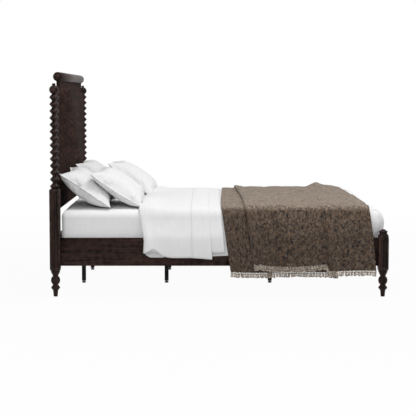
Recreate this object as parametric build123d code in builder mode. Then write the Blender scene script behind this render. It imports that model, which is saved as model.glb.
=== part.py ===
"""A panel bed with turned bead posts, dressed with pillows, a blanket, a turned-back sheet and a throw.

Millimetres, +Z up. The origin is on the floor at the middle of the frame. +X runs to the foot of the
bed, and -Y is its left side, as seen from the foot. Every node is one file in parts/.
"""
import os
from math import cos, radians, sin

from build123d import *

# Mattress, which the whole frame is laid out round
mattress_length = 2030.0
mattress_width = 1930.0
mattress_height = 254.0
mattress_corner_r = 80.0
mattress_edge_r = 28.0
rest_gap = 0.3

# Room between the mattress and the frame
head_gap = 32.0
foot_gap = 2.0
side_gap = 3.0
mattress_recess = 70.0

# Posts
post_side = 64.0
foot_height = 172.0
foot_tip_r = 13.0
ankle_r = 14.5
ankle_z = 20.0
ring_rise = 16.0
ring_z = 55.5
lower_neck_z = 76.5
bulb_z = 104.5
upper_neck_z = 131.0
collar_z = 158.5
collar_step = 3.0
turning_r = 29.5
neck_r = 16.5
crisp_r = 3.0
head_block_top = 687.0
foot_block_top = 378.0
bead_count = 14
bead_pitch = 43.1
bead_tip_r = 30.5
bead_valley_r = 12.0
bead_seat = 16.0
bead_seat_r = 20.5
bead_crisp_r = 4.0
ball_height = 53.0
ball_neck_r = 8.5
button_r = 11.5
button_height = 14.0
cap_neck_r = 22.5
cap_r = 28.5
cap_rise = 52.0
cap_bead_drop = 13.5
cap_neck_drop = 28.5
cap_flat = 8.0
cap_button_r = 13.5
flute_count = 3
flute_pitch = 15.5
flute_r = 6.2
flute_depth = 3.2
flute_margin = 12.0
shoulder_height = 8.0
shoulder_swell = 5.0
shoulder_inset = 2.0

# Headboard
panel_thickness = 22.0
panel_bottom = 544.0
panel_shoulder = 1300.0
panel_neck_half = 740.0
panel_cove_r = 34.0
panel_housing = 8.0
roll_r = 30.0
roll_height = 1396.0
roll_half = 785.0
roll_groove = 10.0
roll_end_length = 34.0
roll_neck = 16.0
roll_neck_slope = 6.0
roll_disc = 20.0
roll_step = 7.0
roll_button_r = 13.0

# Rails
rail_thickness = 25.0
rail_depth = 178.0
rail_top = 374.0
side_rail_inset = 24.0
foot_rail_inset = 14.0
tenon_length = 26.0
tenon_thickness = 12.0
tenon_shoulder = 16.0
joint_gap = 0.3
rail_edge_r = 2.0

# Cleats and slats
cleat_side = 30.0
cleat_end_gap = 25.0
cleat_screw_margin = 60.0
slat_screw_inset = 18.6
slat_count = 13
slat_width = 70.0
slat_thickness = 18.0
slat_end_gap = 2.0
slat_field_margin = 60.0

# Centre beams, legs and levelling feet
beam_offset = 346.0
beam_height = 40.0
beam_width = 27.0
beam_wall = 2.0
bracket_wall = 3.0
bracket_reach = 32.0
bracket_screw_gap = 8.0
bracket_ear = 4.0
head_leg_inset = 122.0
middle_leg_share = -0.34
foot_leg_share = 0.337
leg_side = 27.0
leg_wall = 1.6
leg_plate_length = 84.0
leg_plate_thickness = 3.0
leg_bolt_spacing = 58.0
leg_bottom = 14.0
plug_height = 22.0
glide_r = 13.0
glide_rim = 2.0
glide_height = 9.0
stem_r = 4.0
stem_length = 46.0
stem_clearance = 0.08

# Bed rail hooks
hook_plate_height = 124.0
hook_plate_width = 19.0
plate_thickness = 3.0
hook_spacing = 62.0
hook_thickness = 3.0
hook_neck_height = 12.0
hook_drop = 8.0
hook_nose = 5.0
hook_clearance = 0.4
pocket_room = 2.0
plate_screw_spacing = 104.0

# Screws
screw_r = 2.0
screw_head_r = 3.8
screw_head_height = 2.2
plate_screw_length = 22.0
cleat_screw_length = 44.0
cleat_screw_count = 7
slat_screw_length = 34.0
bracket_screw_length = 20.0
bolt_r = 3.0
bolt_head_r = 5.2
bolt_head_height = 4.0
bolt_grip = 8.0
hole_clearance = 0.1

# Blanket, turned-back sheet and throw, laid out from the mattress's ends
cloth_gap = 0.8
cloth_over_rail = 3.0
rail_turn = 6.0
shoulder_r = 34.0
join_drop = 46.0
flat_swell = 0.6
blanket_thickness = 10.0
blanket_from_head = 500.0
blanket_slant = 20.0
blanket_tuck_length = 132.0
blanket_hem = 262.0
foot_bulge = 16.0
post_clear = 6.0
sheet_thickness = 5.0
sheet_lap = 9.0
sheet_width = 449.0
sheet_head_slant = 37.0
sheet_foot_slant = 14.0
sheet_flare = 3.0
sheet_hem = 246.0
throw_from_sheet = 73.0
throw_from_foot = 87.0
throw_thickness = 7.0
throw_hem = 158.0
throw_head_lean = 56.0
throw_foot_lean = 38.0
throw_swell = 13.0
throw_folds = (0.0, 0.16, 0.36, 0.52, 0.71, 0.86, 1.0)
layer_head_step = 157.0
layer_foot_step = 200.0
layer_hem = 212.0
layer_tuck_in = 2.0
layer_overlap = 1.0
layer_head_lean = 74.0
layer_foot_lean = 10.0
layer_thickness = 6.0
layer_swell = 9.0
fringe_length = 38.0
fringe_thickness = 4.0
fringe_inset = 1.0

# Pillows
pillow_length = 690.0
pillow_width = 392.0
pillow_waist = 0.93
pillow_lean = 34.5
pillow_crown = 78.0
pillow_rear_crown = 66.0
pressed_rear_crown = 50.0
pillow_panel_gap = 1.5
pillow_step = 195.0
pillow_sink = 8.0
pillow_middle_gap = 500.0
front_pillow_shift = 30.0
pillow_ear = 7.0

# Places that follow from the sizes above
post_x = (panel_thickness / 2 + head_gap + mattress_length + foot_gap + rail_thickness + foot_rail_inset
          - post_side / 2) / 2
rail_inner_y = mattress_width / 2 + side_gap
rail_outer_y = rail_inner_y + rail_thickness
post_y = rail_outer_y + side_rail_inset - post_side / 2
foot_rail_inner_x = post_x + post_side / 2 - foot_rail_inset - rail_thickness
head_rail_inner_x = -post_x + rail_thickness / 2
rail_bottom = rail_top - rail_depth
mattress_head = -post_x + panel_thickness / 2 + head_gap
mattress_foot = mattress_head + mattress_length
mattress_bottom = rail_top - mattress_recess
mattress_top = mattress_bottom + mattress_height
slat_top = mattress_bottom - rest_gap
slat_bottom = slat_top - slat_thickness
beam_bottom = slat_bottom - beam_height
beads_top = head_block_top + bead_seat + (bead_count - 0.5) * bead_pitch
block_corner_r = post_side / 2 * 2 ** 0.5
leg_places = (head_leg_inset - post_x, middle_leg_share * post_x, foot_leg_share * post_x)
blanket_head = mattress_head + blanket_from_head
blanket_tuck = mattress_foot - blanket_tuck_length
sheet_head = blanket_head - sheet_lap
sheet_foot = sheet_head + sheet_width
throw_head = sheet_foot + throw_from_sheet
throw_foot = mattress_foot - throw_from_foot
layer_head = throw_head + layer_head_step
layer_foot = throw_foot - layer_foot_step

os.makedirs("parts", exist_ok=True)


# Turned foot: tip, taper, sharp ring, round bulb and collar, under the square block
with BuildPart() as foot_turning:
    with BuildSketch(Plane.XZ) as foot_profile:
        with BuildLine():
            Polyline((0, 0), (foot_tip_r, 0), (ankle_r, ankle_z), (neck_r, ring_z - ring_rise),
                     (turning_r, ring_z), (neck_r, lower_neck_z))
            ThreePointArc((neck_r, lower_neck_z), (turning_r, bulb_z), (neck_r, upper_neck_z))
            Polyline((neck_r, upper_neck_z), (turning_r, collar_z), (turning_r - collar_step, foot_height),
                     (0, foot_height), (0, 0))
        make_face()
        fillet(foot_profile.vertices().filter_by_position(Axis.X, turning_r - 0.1, turning_r + 0.1),
               radius=crisp_r)
    revolve(axis=Axis.Z)

# Fourteen sharp beads, then the ball and its button
ball_z = beads_top + ball_height / 2
ball_top = beads_top + ball_height
top_z = ball_top + button_height
with BuildPart() as bead_turning:
    with BuildSketch(Plane.XZ) as bead_profile:
        with BuildLine():
            tips = [(bead_tip_r, head_block_top + bead_seat + k * bead_pitch) for k in range(bead_count)]
            valleys = [(bead_valley_r, z + bead_pitch / 2) for _, z in tips]
            zigzag = [point for pair in zip(tips, valleys) for point in pair]
            Polyline((0, head_block_top - 1), (bead_seat_r, head_block_top - 1), *zigzag)
            ThreePointArc((bead_valley_r, beads_top), (turning_r, ball_z), (ball_neck_r, ball_top))
            ThreePointArc((ball_neck_r, ball_top), (button_r, top_z - button_height / 2),
                          (button_r / 2, top_z - 1))
            Polyline((button_r / 2, top_z - 1), (0, top_z), (0, head_block_top - 1))
        make_face()
        fillet(bead_profile.vertices().filter_by_position(Axis.X, bead_tip_r - 0.1, bead_tip_r + 0.1),
               radius=bead_crisp_r)
    revolve(axis=Axis.Z)

# Low cap of a foot post: a neck, a flat bead and a button
cap_top = foot_block_top + cap_rise
cap_bead_z = cap_top - cap_bead_drop
with BuildPart() as cap_turning:
    with BuildSketch(Plane.XZ) as cap_profile:
        with BuildLine():
            Polyline((0, foot_block_top), (cap_neck_r, foot_block_top), (cap_neck_r, cap_top - cap_neck_drop),
                     (cap_r, cap_bead_z), (cap_button_r, cap_bead_z + cap_flat))
            ThreePointArc((cap_button_r, cap_bead_z + cap_flat), (button_r, cap_top - 2),
                          (button_r / 2, cap_top))
            Polyline((button_r / 2, cap_top), (0, cap_top), (0, foot_block_top))
        make_face()
        fillet(cap_profile.vertices().filter_by_position(Axis.X, cap_r - 0.1, cap_r + 0.1), radius=crisp_r)
    revolve(axis=Axis.Z)


def square_block(top, crown_height):
    """The fluted square block between the foot and what stands on it, with turned ends."""
    flute_length = top - foot_height - 2 * flute_margin
    flute_ys = [(k - (flute_count - 1) / 2) * flute_pitch for k in range(flute_count)]
    with BuildPart() as flute:
        with BuildSketch(Plane.XZ):
            SlotOverall(flute_length, 2 * flute_r, rotation=90)
            Rectangle(flute_r * 2, flute_length, align=(Align.MAX, Align.CENTER), mode=Mode.SUBTRACT)
        revolve(axis=Axis.Z)
    with BuildPart() as block:
        with BuildSketch(Plane.XY.offset(foot_height - shoulder_height)):
            Rectangle(post_side, post_side)
        extrude(amount=top - foot_height + shoulder_height + crown_height)
        with Locations((0, 0, (top + foot_height) / 2)):
            with PolarLocations(post_side / 2 + flute_r - flute_depth, 4):
                with Locations(*[(0, flute_y, 0) for flute_y in flute_ys]):
                    add(flute.part, mode=Mode.SUBTRACT)
        outer_r = block_corner_r + 1
        inner_r = turning_r - shoulder_inset
        swell_r = post_side / 2 + shoulder_swell
        with BuildSketch(Plane.XZ):
            with BuildLine():
                Line((0, foot_height - shoulder_height), (inner_r, foot_height - shoulder_height))
                ThreePointArc((inner_r, foot_height - shoulder_height), (swell_r, foot_height - 1),
                              (outer_r, foot_height + shoulder_height))
                Line((outer_r, foot_height + shoulder_height), (outer_r, top - crown_height / 2))
                ThreePointArc((outer_r, top - crown_height / 2), (swell_r - 1, top + crown_height / 3),
                              (cap_neck_r, top + crown_height))
                Polyline((cap_neck_r, top + crown_height), (0, top + crown_height),
                         (0, foot_height - shoulder_height))
            make_face()
        revolve(axis=Axis.Z, mode=Mode.INTERSECT)
    return block.part


head_block = square_block(head_block_top - shoulder_height, shoulder_height)
foot_block = square_block(foot_block_top, cap_rise / 2)


# Bed rail hooks: where they stand on the end of a side rail, from the rail's middle height
hook_middle = rail_bottom + rail_depth / 2
hook_heights = (hook_middle - hook_spacing / 2, hook_middle + hook_spacing / 2)
plate_y = rail_inner_y + rail_thickness / 2
rail_end_x = post_x - post_side / 2 - joint_gap


def plate_screw_places(x, y, direction):
    """Two countersunk screws in a plate, pointing the way of direction along X."""
    heights = (hook_middle - plate_screw_spacing / 2, hook_middle + plate_screw_spacing / 2)
    return [Location(Plane(origin=(x, y, z), x_dir=(0, 1, 0), z_dir=(direction, 0, 0))) for z in heights]


def screw(length, clearance=0.0):
    """A countersunk screw whose head lies at the origin and whose shank points along +Z."""
    with BuildPart() as body:
        with BuildSketch(Plane.XZ):
            with BuildLine():
                Polyline((0, 0), (screw_head_r + clearance, 0), (screw_r + clearance, screw_head_height),
                         (screw_r + clearance, length - screw_r), (0, length + clearance), (0, 0))
            make_face()
        revolve(axis=Axis.Z)
    return body.part


def post_with_joints(turned, block, x, y, rail_side):
    """One post: its turned parts and block, cut for the rail tenon across and the keeper plate along."""
    toward_middle = -1 if y > 0 else 1
    inward = 1 if rail_side == "head" else -1
    cross_x = -post_x if rail_side == "head" else foot_rail_inner_x + rail_thickness / 2
    keeper_x = x + inward * post_side / 2
    keeper_y = plate_y if y > 0 else -plate_y
    with BuildPart() as post:
        with Locations((x, y, 0)):
            add(foot_turning.part)
            add(turned)
            add(block)
        # Mortise for the tenon of the head or foot rail
        with Locations((cross_x, y + toward_middle * post_side / 2, hook_middle)):
            Box(tenon_thickness + 2 * joint_gap, 2 * (tenon_length + joint_gap),
                rail_depth - 2 * tenon_shoulder + 2 * joint_gap, mode=Mode.SUBTRACT)
        # Recess for the keeper plate, and the pockets behind its slots
        with Locations((keeper_x, keeper_y, hook_middle)):
            Box(2 * (plate_thickness + joint_gap), hook_plate_width + 2 * joint_gap,
                hook_plate_height + 2 * joint_gap, mode=Mode.SUBTRACT)
        pocket_depth = plate_thickness + joint_gap + hook_nose + pocket_room
        pocket_height = 2 * hook_drop + hook_neck_height + pocket_room
        with Locations(*[(keeper_x, keeper_y, z) for z in hook_heights]):
            Box(2 * pocket_depth, hook_thickness + 2 * pocket_room, 2 * pocket_height - hook_neck_height,
                mode=Mode.SUBTRACT)
        with Locations(*plate_screw_places(keeper_x - inward * joint_gap, keeper_y, -inward)):
            add(screw(plate_screw_length, hole_clearance), mode=Mode.SUBTRACT)
        # Groove that houses the panel's edge
        if rail_side == "head":
            groove_height = panel_shoulder - panel_bottom + joint_gap
            standing = (Align.CENTER, Align.CENTER, Align.MIN)
            with Locations((x, y, panel_bottom - joint_gap)):
                Box(panel_thickness + 2 * joint_gap, 2 * (panel_housing + joint_gap), groove_height,
                    align=standing, mode=Mode.SUBTRACT)
                with Locations((0, toward_middle * post_side / 2, 0)):
                    Box(panel_thickness + 2 * joint_gap, post_side, groove_height, align=standing,
                        mode=Mode.SUBTRACT)
    return post


head_post_left = post_with_joints(bead_turning.part, head_block, -post_x, -post_y, "head")
head_post_right = post_with_joints(bead_turning.part, head_block, -post_x, post_y, "head")
foot_post_left = post_with_joints(cap_turning.part, foot_block, post_x, -post_y, "foot")
foot_post_right = post_with_joints(cap_turning.part, foot_block, post_x, post_y, "foot")


# Headboard panel: full width up to the shoulders, then a cove to the raised middle
panel_half = post_y + panel_housing
neck_top = roll_height - roll_r + roll_groove
cove_y = panel_neck_half + panel_cove_r
cove_low = panel_shoulder - joint_gap
with BuildPart() as headboard_panel:
    with BuildSketch(Plane.YZ.offset(-post_x)):
        with BuildLine():
            Polyline((0, panel_bottom), (panel_half, panel_bottom), (panel_half, cove_low),
                     (cove_y, cove_low))
            RadiusArc((cove_y, cove_low), (panel_neck_half, cove_low + panel_cove_r), panel_cove_r)
            Polyline((panel_neck_half, cove_low + panel_cove_r), (panel_neck_half, neck_top), (0, neck_top),
                     (0, panel_bottom))
        make_face()
        mirror(about=Plane.YZ)
    extrude(amount=panel_thickness / 2, both=True)
    fillet(headboard_panel.edges().filter_by(Axis.Y).group_by(Axis.Z)[0], radius=rail_edge_r)

# Crest roll: a round bar with turned ends, grooved to sit on the panel
roll_plane = Plane(origin=(-post_x, 0, roll_height), x_dir=(0, 1, 0), z_dir=(1, 0, 0))
bar_end = roll_half - roll_end_length
disc_end = bar_end + roll_disc
rim_r = roll_r - roll_neck_slope
face_r = roll_r - roll_step
with BuildPart() as crest_roll:
    with BuildSketch(roll_plane):
        with BuildLine():
            Polyline((0, 0), (0, roll_r), (bar_end - roll_neck, roll_r),
                     (bar_end - roll_neck + roll_neck_slope, rim_r), (bar_end, rim_r))
            ThreePointArc((bar_end, rim_r), (bar_end + roll_disc / 2, roll_r), (disc_end, face_r))
            Line((disc_end, face_r), (disc_end, roll_button_r))
            ThreePointArc((disc_end, roll_button_r), (roll_half - crisp_r, roll_button_r * 0.8),
                          (roll_half, roll_button_r / 2))
            Polyline((roll_half, roll_button_r / 2), (roll_half, 0), (0, 0))
        make_face()
        mirror(about=Plane.YZ)
    revolve(axis=Axis(origin=(-post_x, 0, roll_height), direction=(0, 1, 0)))
    with Locations((-post_x, 0, roll_height - roll_r)):
        Box(panel_thickness + 2 * joint_gap, 2 * (panel_neck_half + joint_gap), 2 * roll_groove,
            mode=Mode.SUBTRACT)


def cross_rail(x):
    """A rail across the bed with a tenon at each end."""
    shoulder_y = post_y - post_side / 2 - joint_gap
    with BuildPart() as rail:
        with Locations((x, 0, hook_middle)):
            Box(rail_thickness, 2 * shoulder_y, rail_depth)
        fillet(rail.edges().filter_by(Axis.Y), radius=rail_edge_r)
        with Locations((x, 0, hook_middle)):
            Box(tenon_thickness, 2 * (shoulder_y + tenon_length), rail_depth - 2 * tenon_shoulder)
    return rail


head_rail = cross_rail(-post_x)
foot_rail = cross_rail(foot_rail_inner_x + rail_thickness / 2)


# Cleats and slats
cleat_length = 2 * (rail_end_x - cleat_end_gap)
cleat_screw_pitch = (cleat_length - 2 * cleat_screw_margin) / (cleat_screw_count - 1)
cleat_screw_xs = [(k - (cleat_screw_count - 1) / 2) * cleat_screw_pitch for k in range(cleat_screw_count)]
cleat_z = slat_bottom - cleat_side / 2
slat_span = mattress_length - 2 * slat_field_margin - slat_width
slat_first = mattress_head + slat_field_margin + slat_width / 2
slat_xs = [slat_first + k * slat_span / (slat_count - 1) for k in range(slat_count)]
slat_half = rail_inner_y - slat_end_gap


def cleat_screw_places(side):
    """Screws that go through a cleat into its rail, on the side of that sign."""
    y = side * (rail_inner_y - cleat_side)
    return [Location(Plane(origin=(x, y, cleat_z), x_dir=(1, 0, 0), z_dir=(0, side, 0)))
            for x in cleat_screw_xs]


def slat_screw_places(side):
    """One screw down through each slat's end into the cleat, on the side of that sign."""
    y = side * (rail_inner_y - slat_screw_inset)
    return [Location(Plane(origin=(x, y, slat_top), x_dir=(1, 0, 0), z_dir=(0, 0, -1))) for x in slat_xs]


def side_rail(side):
    """A side rail, recessed at its ends for the hook plates and drilled for its cleat."""
    with BuildPart() as rail:
        with Locations((0, side * plate_y, hook_middle)):
            Box(2 * rail_end_x, rail_thickness, rail_depth)
        fillet(rail.edges().filter_by(Axis.X), radius=rail_edge_r)
        with Locations((-rail_end_x, side * plate_y, hook_middle), (rail_end_x, side * plate_y, hook_middle)):
            Box(2 * (plate_thickness + joint_gap), hook_plate_width + 2 * joint_gap,
                hook_plate_height + 2 * joint_gap, mode=Mode.SUBTRACT)
        for end in (-1, 1):
            with Locations(*plate_screw_places(end * rail_end_x, side * plate_y, -end)):
                add(screw(plate_screw_length, hole_clearance), mode=Mode.SUBTRACT)
        with Locations(*cleat_screw_places(side)):
            add(screw(cleat_screw_length, hole_clearance), mode=Mode.SUBTRACT)
    return rail


def cleat(side):
    """The strip of wood along the inside of a side rail that carries the slats."""
    with BuildPart() as strip:
        with Locations((0, side * (rail_inner_y - cleat_side / 2), cleat_z)):
            Box(cleat_length, cleat_side, cleat_side)
        with Locations(*cleat_screw_places(side)):
            add(screw(cleat_screw_length, hole_clearance), mode=Mode.SUBTRACT)
        with Locations(*slat_screw_places(side)):
            add(screw(slat_screw_length, hole_clearance), mode=Mode.SUBTRACT)
    return strip


side_rail_left = side_rail(-1)
side_rail_right = side_rail(1)
cleat_left = cleat(-1)
cleat_right = cleat(1)

with BuildPart() as slats:
    with Locations(*[(x, 0, slat_bottom + slat_thickness / 2) for x in slat_xs]):
        Box(slat_width, 2 * slat_half, slat_thickness)
    fillet(slats.edges().filter_by(Axis.Y), radius=rail_edge_r)
    for side in (-1, 1):
        with Locations(*slat_screw_places(side)):
            add(screw(slat_screw_length, hole_clearance), mode=Mode.SUBTRACT)

with BuildPart() as slat_screws:
    with Locations(*slat_screw_places(-1), *slat_screw_places(1)):
        add(screw(slat_screw_length))

with BuildPart() as cleat_screws:
    with Locations(*cleat_screw_places(-1), *cleat_screw_places(1)):
        add(screw(cleat_screw_length))


# Hook plates on the rails and keeper plates in the posts
def hook_plate(end, side):
    """A plate let into the end of a side rail, with two hooks that drop behind the keeper plate."""
    face_x = end * rail_end_x
    reach = joint_gap + plate_thickness + joint_gap + hook_clearance + hook_nose
    with BuildPart() as plate:
        with Locations((face_x - end * plate_thickness / 2, side * plate_y, hook_middle)):
            Box(plate_thickness, hook_plate_width, hook_plate_height)
        with Locations(*plate_screw_places(face_x, side * plate_y, -end)):
            add(screw(plate_screw_length, hole_clearance), mode=Mode.SUBTRACT)
        for z in hook_heights:
            with Locations((face_x + end * reach / 2, side * plate_y, z)):
                Box(reach, hook_thickness, hook_neck_height)
            with Locations((face_x + end * (reach - hook_nose / 2), side * plate_y, z - hook_drop / 2)):
                Box(hook_nose, hook_thickness, hook_neck_height + hook_drop)
    return plate.part


def keeper_plate(end, side):
    """A slotted plate let into a post, which the rail's hooks drop over."""
    face_x = end * (post_x - post_side / 2)
    slot_height = hook_neck_height + hook_drop + 2 * hook_clearance
    with BuildPart() as plate:
        with Locations((face_x + end * (joint_gap + plate_thickness / 2), side * plate_y, hook_middle)):
            Box(plate_thickness, hook_plate_width, hook_plate_height)
        slot_z = (slot_height - hook_neck_height) / 2 - hook_clearance
        slot_x = face_x + end * plate_thickness / 2
        with Locations(*[(slot_x, side * plate_y, z + slot_z) for z in hook_heights]):
            Box(4 * plate_thickness, hook_thickness + 2 * hook_clearance, slot_height, mode=Mode.SUBTRACT)
        with Locations(*plate_screw_places(face_x + end * joint_gap, side * plate_y, end)):
            add(screw(plate_screw_length, hole_clearance), mode=Mode.SUBTRACT)
    return plate.part


corners = [(end, side) for end in (-1, 1) for side in (-1, 1)]
with BuildPart() as rail_hook_plates:
    for end, side in corners:
        add(hook_plate(end, side))
with BuildPart() as post_keeper_plates:
    for end, side in corners:
        add(keeper_plate(end, side))
with BuildPart() as plate_screws:
    for end, side in corners:
        with Locations(*plate_screw_places(end * rail_end_x, side * plate_y, -end)):
            add(screw(plate_screw_length))
        with Locations(*plate_screw_places(end * (post_x - post_side / 2 + joint_gap), side * plate_y, end)):
            add(screw(plate_screw_length))


# Centre beams on the legs, and the cradles that hold their ends on the head and foot rails
beam_from = head_rail_inner_x + bracket_wall + joint_gap
beam_to = foot_rail_inner_x - bracket_wall - joint_gap
leg_bolt_offsets = (-leg_bolt_spacing / 2, leg_bolt_spacing / 2)


def leg_bolt_places(x, y):
    """Two bolts up through a leg's top plate into the beam."""
    z = beam_bottom - leg_plate_thickness
    return [Location((x + offset, y, z)) for offset in leg_bolt_offsets]


def beam(y):
    """A steel tube under the slats, from the head rail to the foot rail."""
    with BuildPart() as tube:
        with BuildSketch(Plane.YZ.offset(beam_from)):
            with Locations((y, beam_bottom + beam_height / 2)):
                RectangleRounded(beam_width, beam_height, beam_wall)
                Rectangle(beam_width - 2 * beam_wall, beam_height - 2 * beam_wall, mode=Mode.SUBTRACT)
        extrude(amount=beam_to - beam_from)
        for x in leg_places:
            with Locations(*leg_bolt_places(x, y)):
                Cylinder(bolt_r + hole_clearance, 4 * leg_plate_thickness, mode=Mode.SUBTRACT)
    return tube


beam_left = beam(-beam_offset)
beam_right = beam(beam_offset)

bracket_faces = ((head_rail_inner_x, 1), (foot_rail_inner_x, -1))
bracket_top = slat_bottom - rest_gap
bracket_low = beam_bottom - bracket_wall
bracket_screw_z = beam_bottom + beam_height / 2
bracket_screw_offset = beam_width / 2 + bracket_wall + bracket_screw_gap


def bracket_screw_places(face_x, inward, y):
    """One screw each side of the cradle, through its ears into the rail."""
    return [Location(Plane(origin=(face_x + inward * bracket_wall, y + offset, bracket_screw_z),
                           x_dir=(0, 1, 0), z_dir=(-inward, 0, 0)))
            for offset in (-bracket_screw_offset, bracket_screw_offset)]


with BuildPart() as beam_brackets:
    for face_x, inward in bracket_faces:
        for y in (-beam_offset, beam_offset):
            ear_half = bracket_screw_offset + screw_head_r + bracket_ear
            with Locations((face_x + inward * bracket_wall / 2, y, (bracket_top + bracket_low) / 2)):
                Box(bracket_wall, 2 * ear_half, bracket_top - bracket_low)
            with Locations((face_x + inward * bracket_reach / 2, y, (bracket_top + bracket_low) / 2)):
                Box(bracket_reach, beam_width + 2 * (bracket_wall + joint_gap), bracket_top - bracket_low)
            with Locations((face_x + inward * (bracket_wall + bracket_reach / 2), y, beam_bottom)):
                Box(bracket_reach, beam_width + 2 * joint_gap, bracket_top - bracket_low,
                    align=(Align.CENTER, Align.CENTER, Align.MIN), mode=Mode.SUBTRACT)
            with Locations(*bracket_screw_places(face_x, inward, y)):
                add(screw(bracket_screw_length, hole_clearance), mode=Mode.SUBTRACT)

with BuildPart() as bracket_screws:
    for face_x, inward in bracket_faces:
        for y in (-beam_offset, beam_offset):
            with Locations(*bracket_screw_places(face_x, inward, y)):
                add(screw(bracket_screw_length))

for rail, (face_x, inward) in ((head_rail, bracket_faces[0]), (foot_rail, bracket_faces[1])):
    with rail:
        for y in (-beam_offset, beam_offset):
            with Locations(*bracket_screw_places(face_x, inward, y)):
                add(screw(bracket_screw_length, hole_clearance), mode=Mode.SUBTRACT)


def support_leg(x, y):
    """A square steel tube leg with a flat plate at its top, bolted under the beam."""
    leg_top = beam_bottom - leg_plate_thickness
    with BuildPart() as leg:
        with BuildSketch(Plane.XY.offset(leg_bottom)):
            with Locations((x, y)):
                RectangleRounded(leg_side, leg_side, 2 * leg_wall)
                Rectangle(leg_side - 2 * leg_wall, leg_side - 2 * leg_wall, mode=Mode.SUBTRACT)
        extrude(amount=leg_top - leg_bottom)
        with BuildSketch(Plane.XY.offset(leg_top)):
            with Locations((x, y)):
                RectangleRounded(leg_plate_length, leg_side, 2 * leg_wall)
        extrude(amount=leg_plate_thickness)
        with Locations(*leg_bolt_places(x, y)):
            Cylinder(bolt_r + hole_clearance, 4 * leg_plate_thickness, mode=Mode.SUBTRACT)
    return leg


def levelling_foot(x, y):
    """A plastic glide on a threaded stem, which screws up into the plug in the leg."""
    with BuildPart() as foot:
        with BuildSketch(Plane.XZ) as glide_profile:
            with BuildLine():
                Polyline((0, 0), (glide_r - glide_rim, 0), (glide_r, glide_rim),
                         (glide_r, glide_height - glide_rim), (glide_r - glide_rim, glide_height),
                         (stem_r, glide_height), (stem_r, glide_height + stem_length),
                         (0, glide_height + stem_length), (0, 0))
            make_face()
        revolve(axis=Axis.Z)
    with BuildPart() as placed:
        with Locations((x, y, 0)):
            add(foot.part)
    return placed


leg_spots = [(name, x, y) for name, y in (("left", -beam_offset), ("right", beam_offset)) for x in leg_places]
with BuildPart() as leg_plugs:
    for _, x, y in leg_spots:
        with Locations((x, y, leg_bottom)):
            Box(leg_side - 2 * leg_wall, leg_side - 2 * leg_wall, plug_height,
                align=(Align.CENTER, Align.CENTER, Align.MIN))
            Cylinder(stem_r + stem_clearance, 3 * plug_height, mode=Mode.SUBTRACT)

with BuildPart() as leg_bolts:
    for _, x, y in leg_spots:
        with Locations(*leg_bolt_places(x, y)):
            Cylinder(bolt_r, leg_plate_thickness + beam_wall + bolt_grip,
                     align=(Align.CENTER, Align.CENTER, Align.MIN))
        with BuildSketch(Plane.XY.offset(beam_bottom - leg_plate_thickness)):
            with Locations(*[(x + offset, y) for offset in leg_bolt_offsets]):
                RegularPolygon(bolt_head_r, 6)
        extrude(amount=-bolt_head_height)


# Mattress
with BuildPart() as mattress:
    with BuildSketch(Plane.XY.offset(mattress_bottom)):
        with Locations(((mattress_head + mattress_foot) / 2, 0)):
            RectangleRounded(mattress_length, mattress_width, mattress_corner_r)
    extrude(amount=mattress_height)
    rims = mattress.faces().sort_by(Axis.Z)
    fillet(rims[0].edges() + rims[-1].edges(), radius=mattress_edge_r)


# Cloth that lies over the bed and hangs down both sides
def over_the_top(x_from, x_to, half_width, top, thickness, corner_r, low):
    """The part of a cloth that lies on the bed and turns down over its long edges."""
    with BuildPart() as span:
        with BuildSketch(Plane.YZ.offset(x_from)):
            with BuildLine():
                Line((0, top), (half_width - corner_r, top))
                RadiusArc((half_width - corner_r, top), (half_width, top - corner_r), corner_r)
                inner_y = half_width - thickness
                Polyline((half_width, top - corner_r), (half_width, low), (inner_y, low),
                         (inner_y, top - corner_r))
                RadiusArc((inner_y, top - corner_r), (half_width - corner_r, top - thickness),
                          -(corner_r - thickness))
                Polyline((half_width - corner_r, top - thickness), (0, top - thickness), (0, top))
            make_face()
            mirror(about=Plane.YZ)
        extrude(amount=x_to - x_from)
    return span.part


def hanging_band(levels, folds, thickness):
    """One side of a cloth as it hangs, through bands at several heights.

    A level gives a height, how far out the cloth's inner face is, its two ends and how deep its folds are.
    """
    with BuildPart() as band:
        for z, inner_y, x_from, x_to, swell in levels:
            xs = [x_from + share * (x_to - x_from) for share in folds]
            outer_y = inner_y + thickness
            with BuildSketch(Plane.XY.offset(z)):
                with BuildLine():
                    for a, b in zip(xs, xs[1:]):
                        ThreePointArc((a, -outer_y), ((a + b) / 2, -outer_y - swell), (b, -outer_y))
                        ThreePointArc((a, -inner_y), ((a + b) / 2, -inner_y - swell), (b, -inner_y))
                    Line((xs[0], -outer_y), (xs[0], -inner_y))
                    Line((xs[-1], -outer_y), (xs[-1], -inner_y))
                make_face()
        loft(ruled=True)
    return band.part


mattress_side = mattress_width / 2
blanket_side = mattress_side + cloth_gap + blanket_thickness
blanket_top = mattress_top + cloth_gap + blanket_thickness
over_rail_z = rail_top + rail_turn
join_z = blanket_top - join_drop
blanket_hang = rail_outer_y + cloth_over_rail
one_fold = (0.0, 0.5, 1.0)

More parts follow.
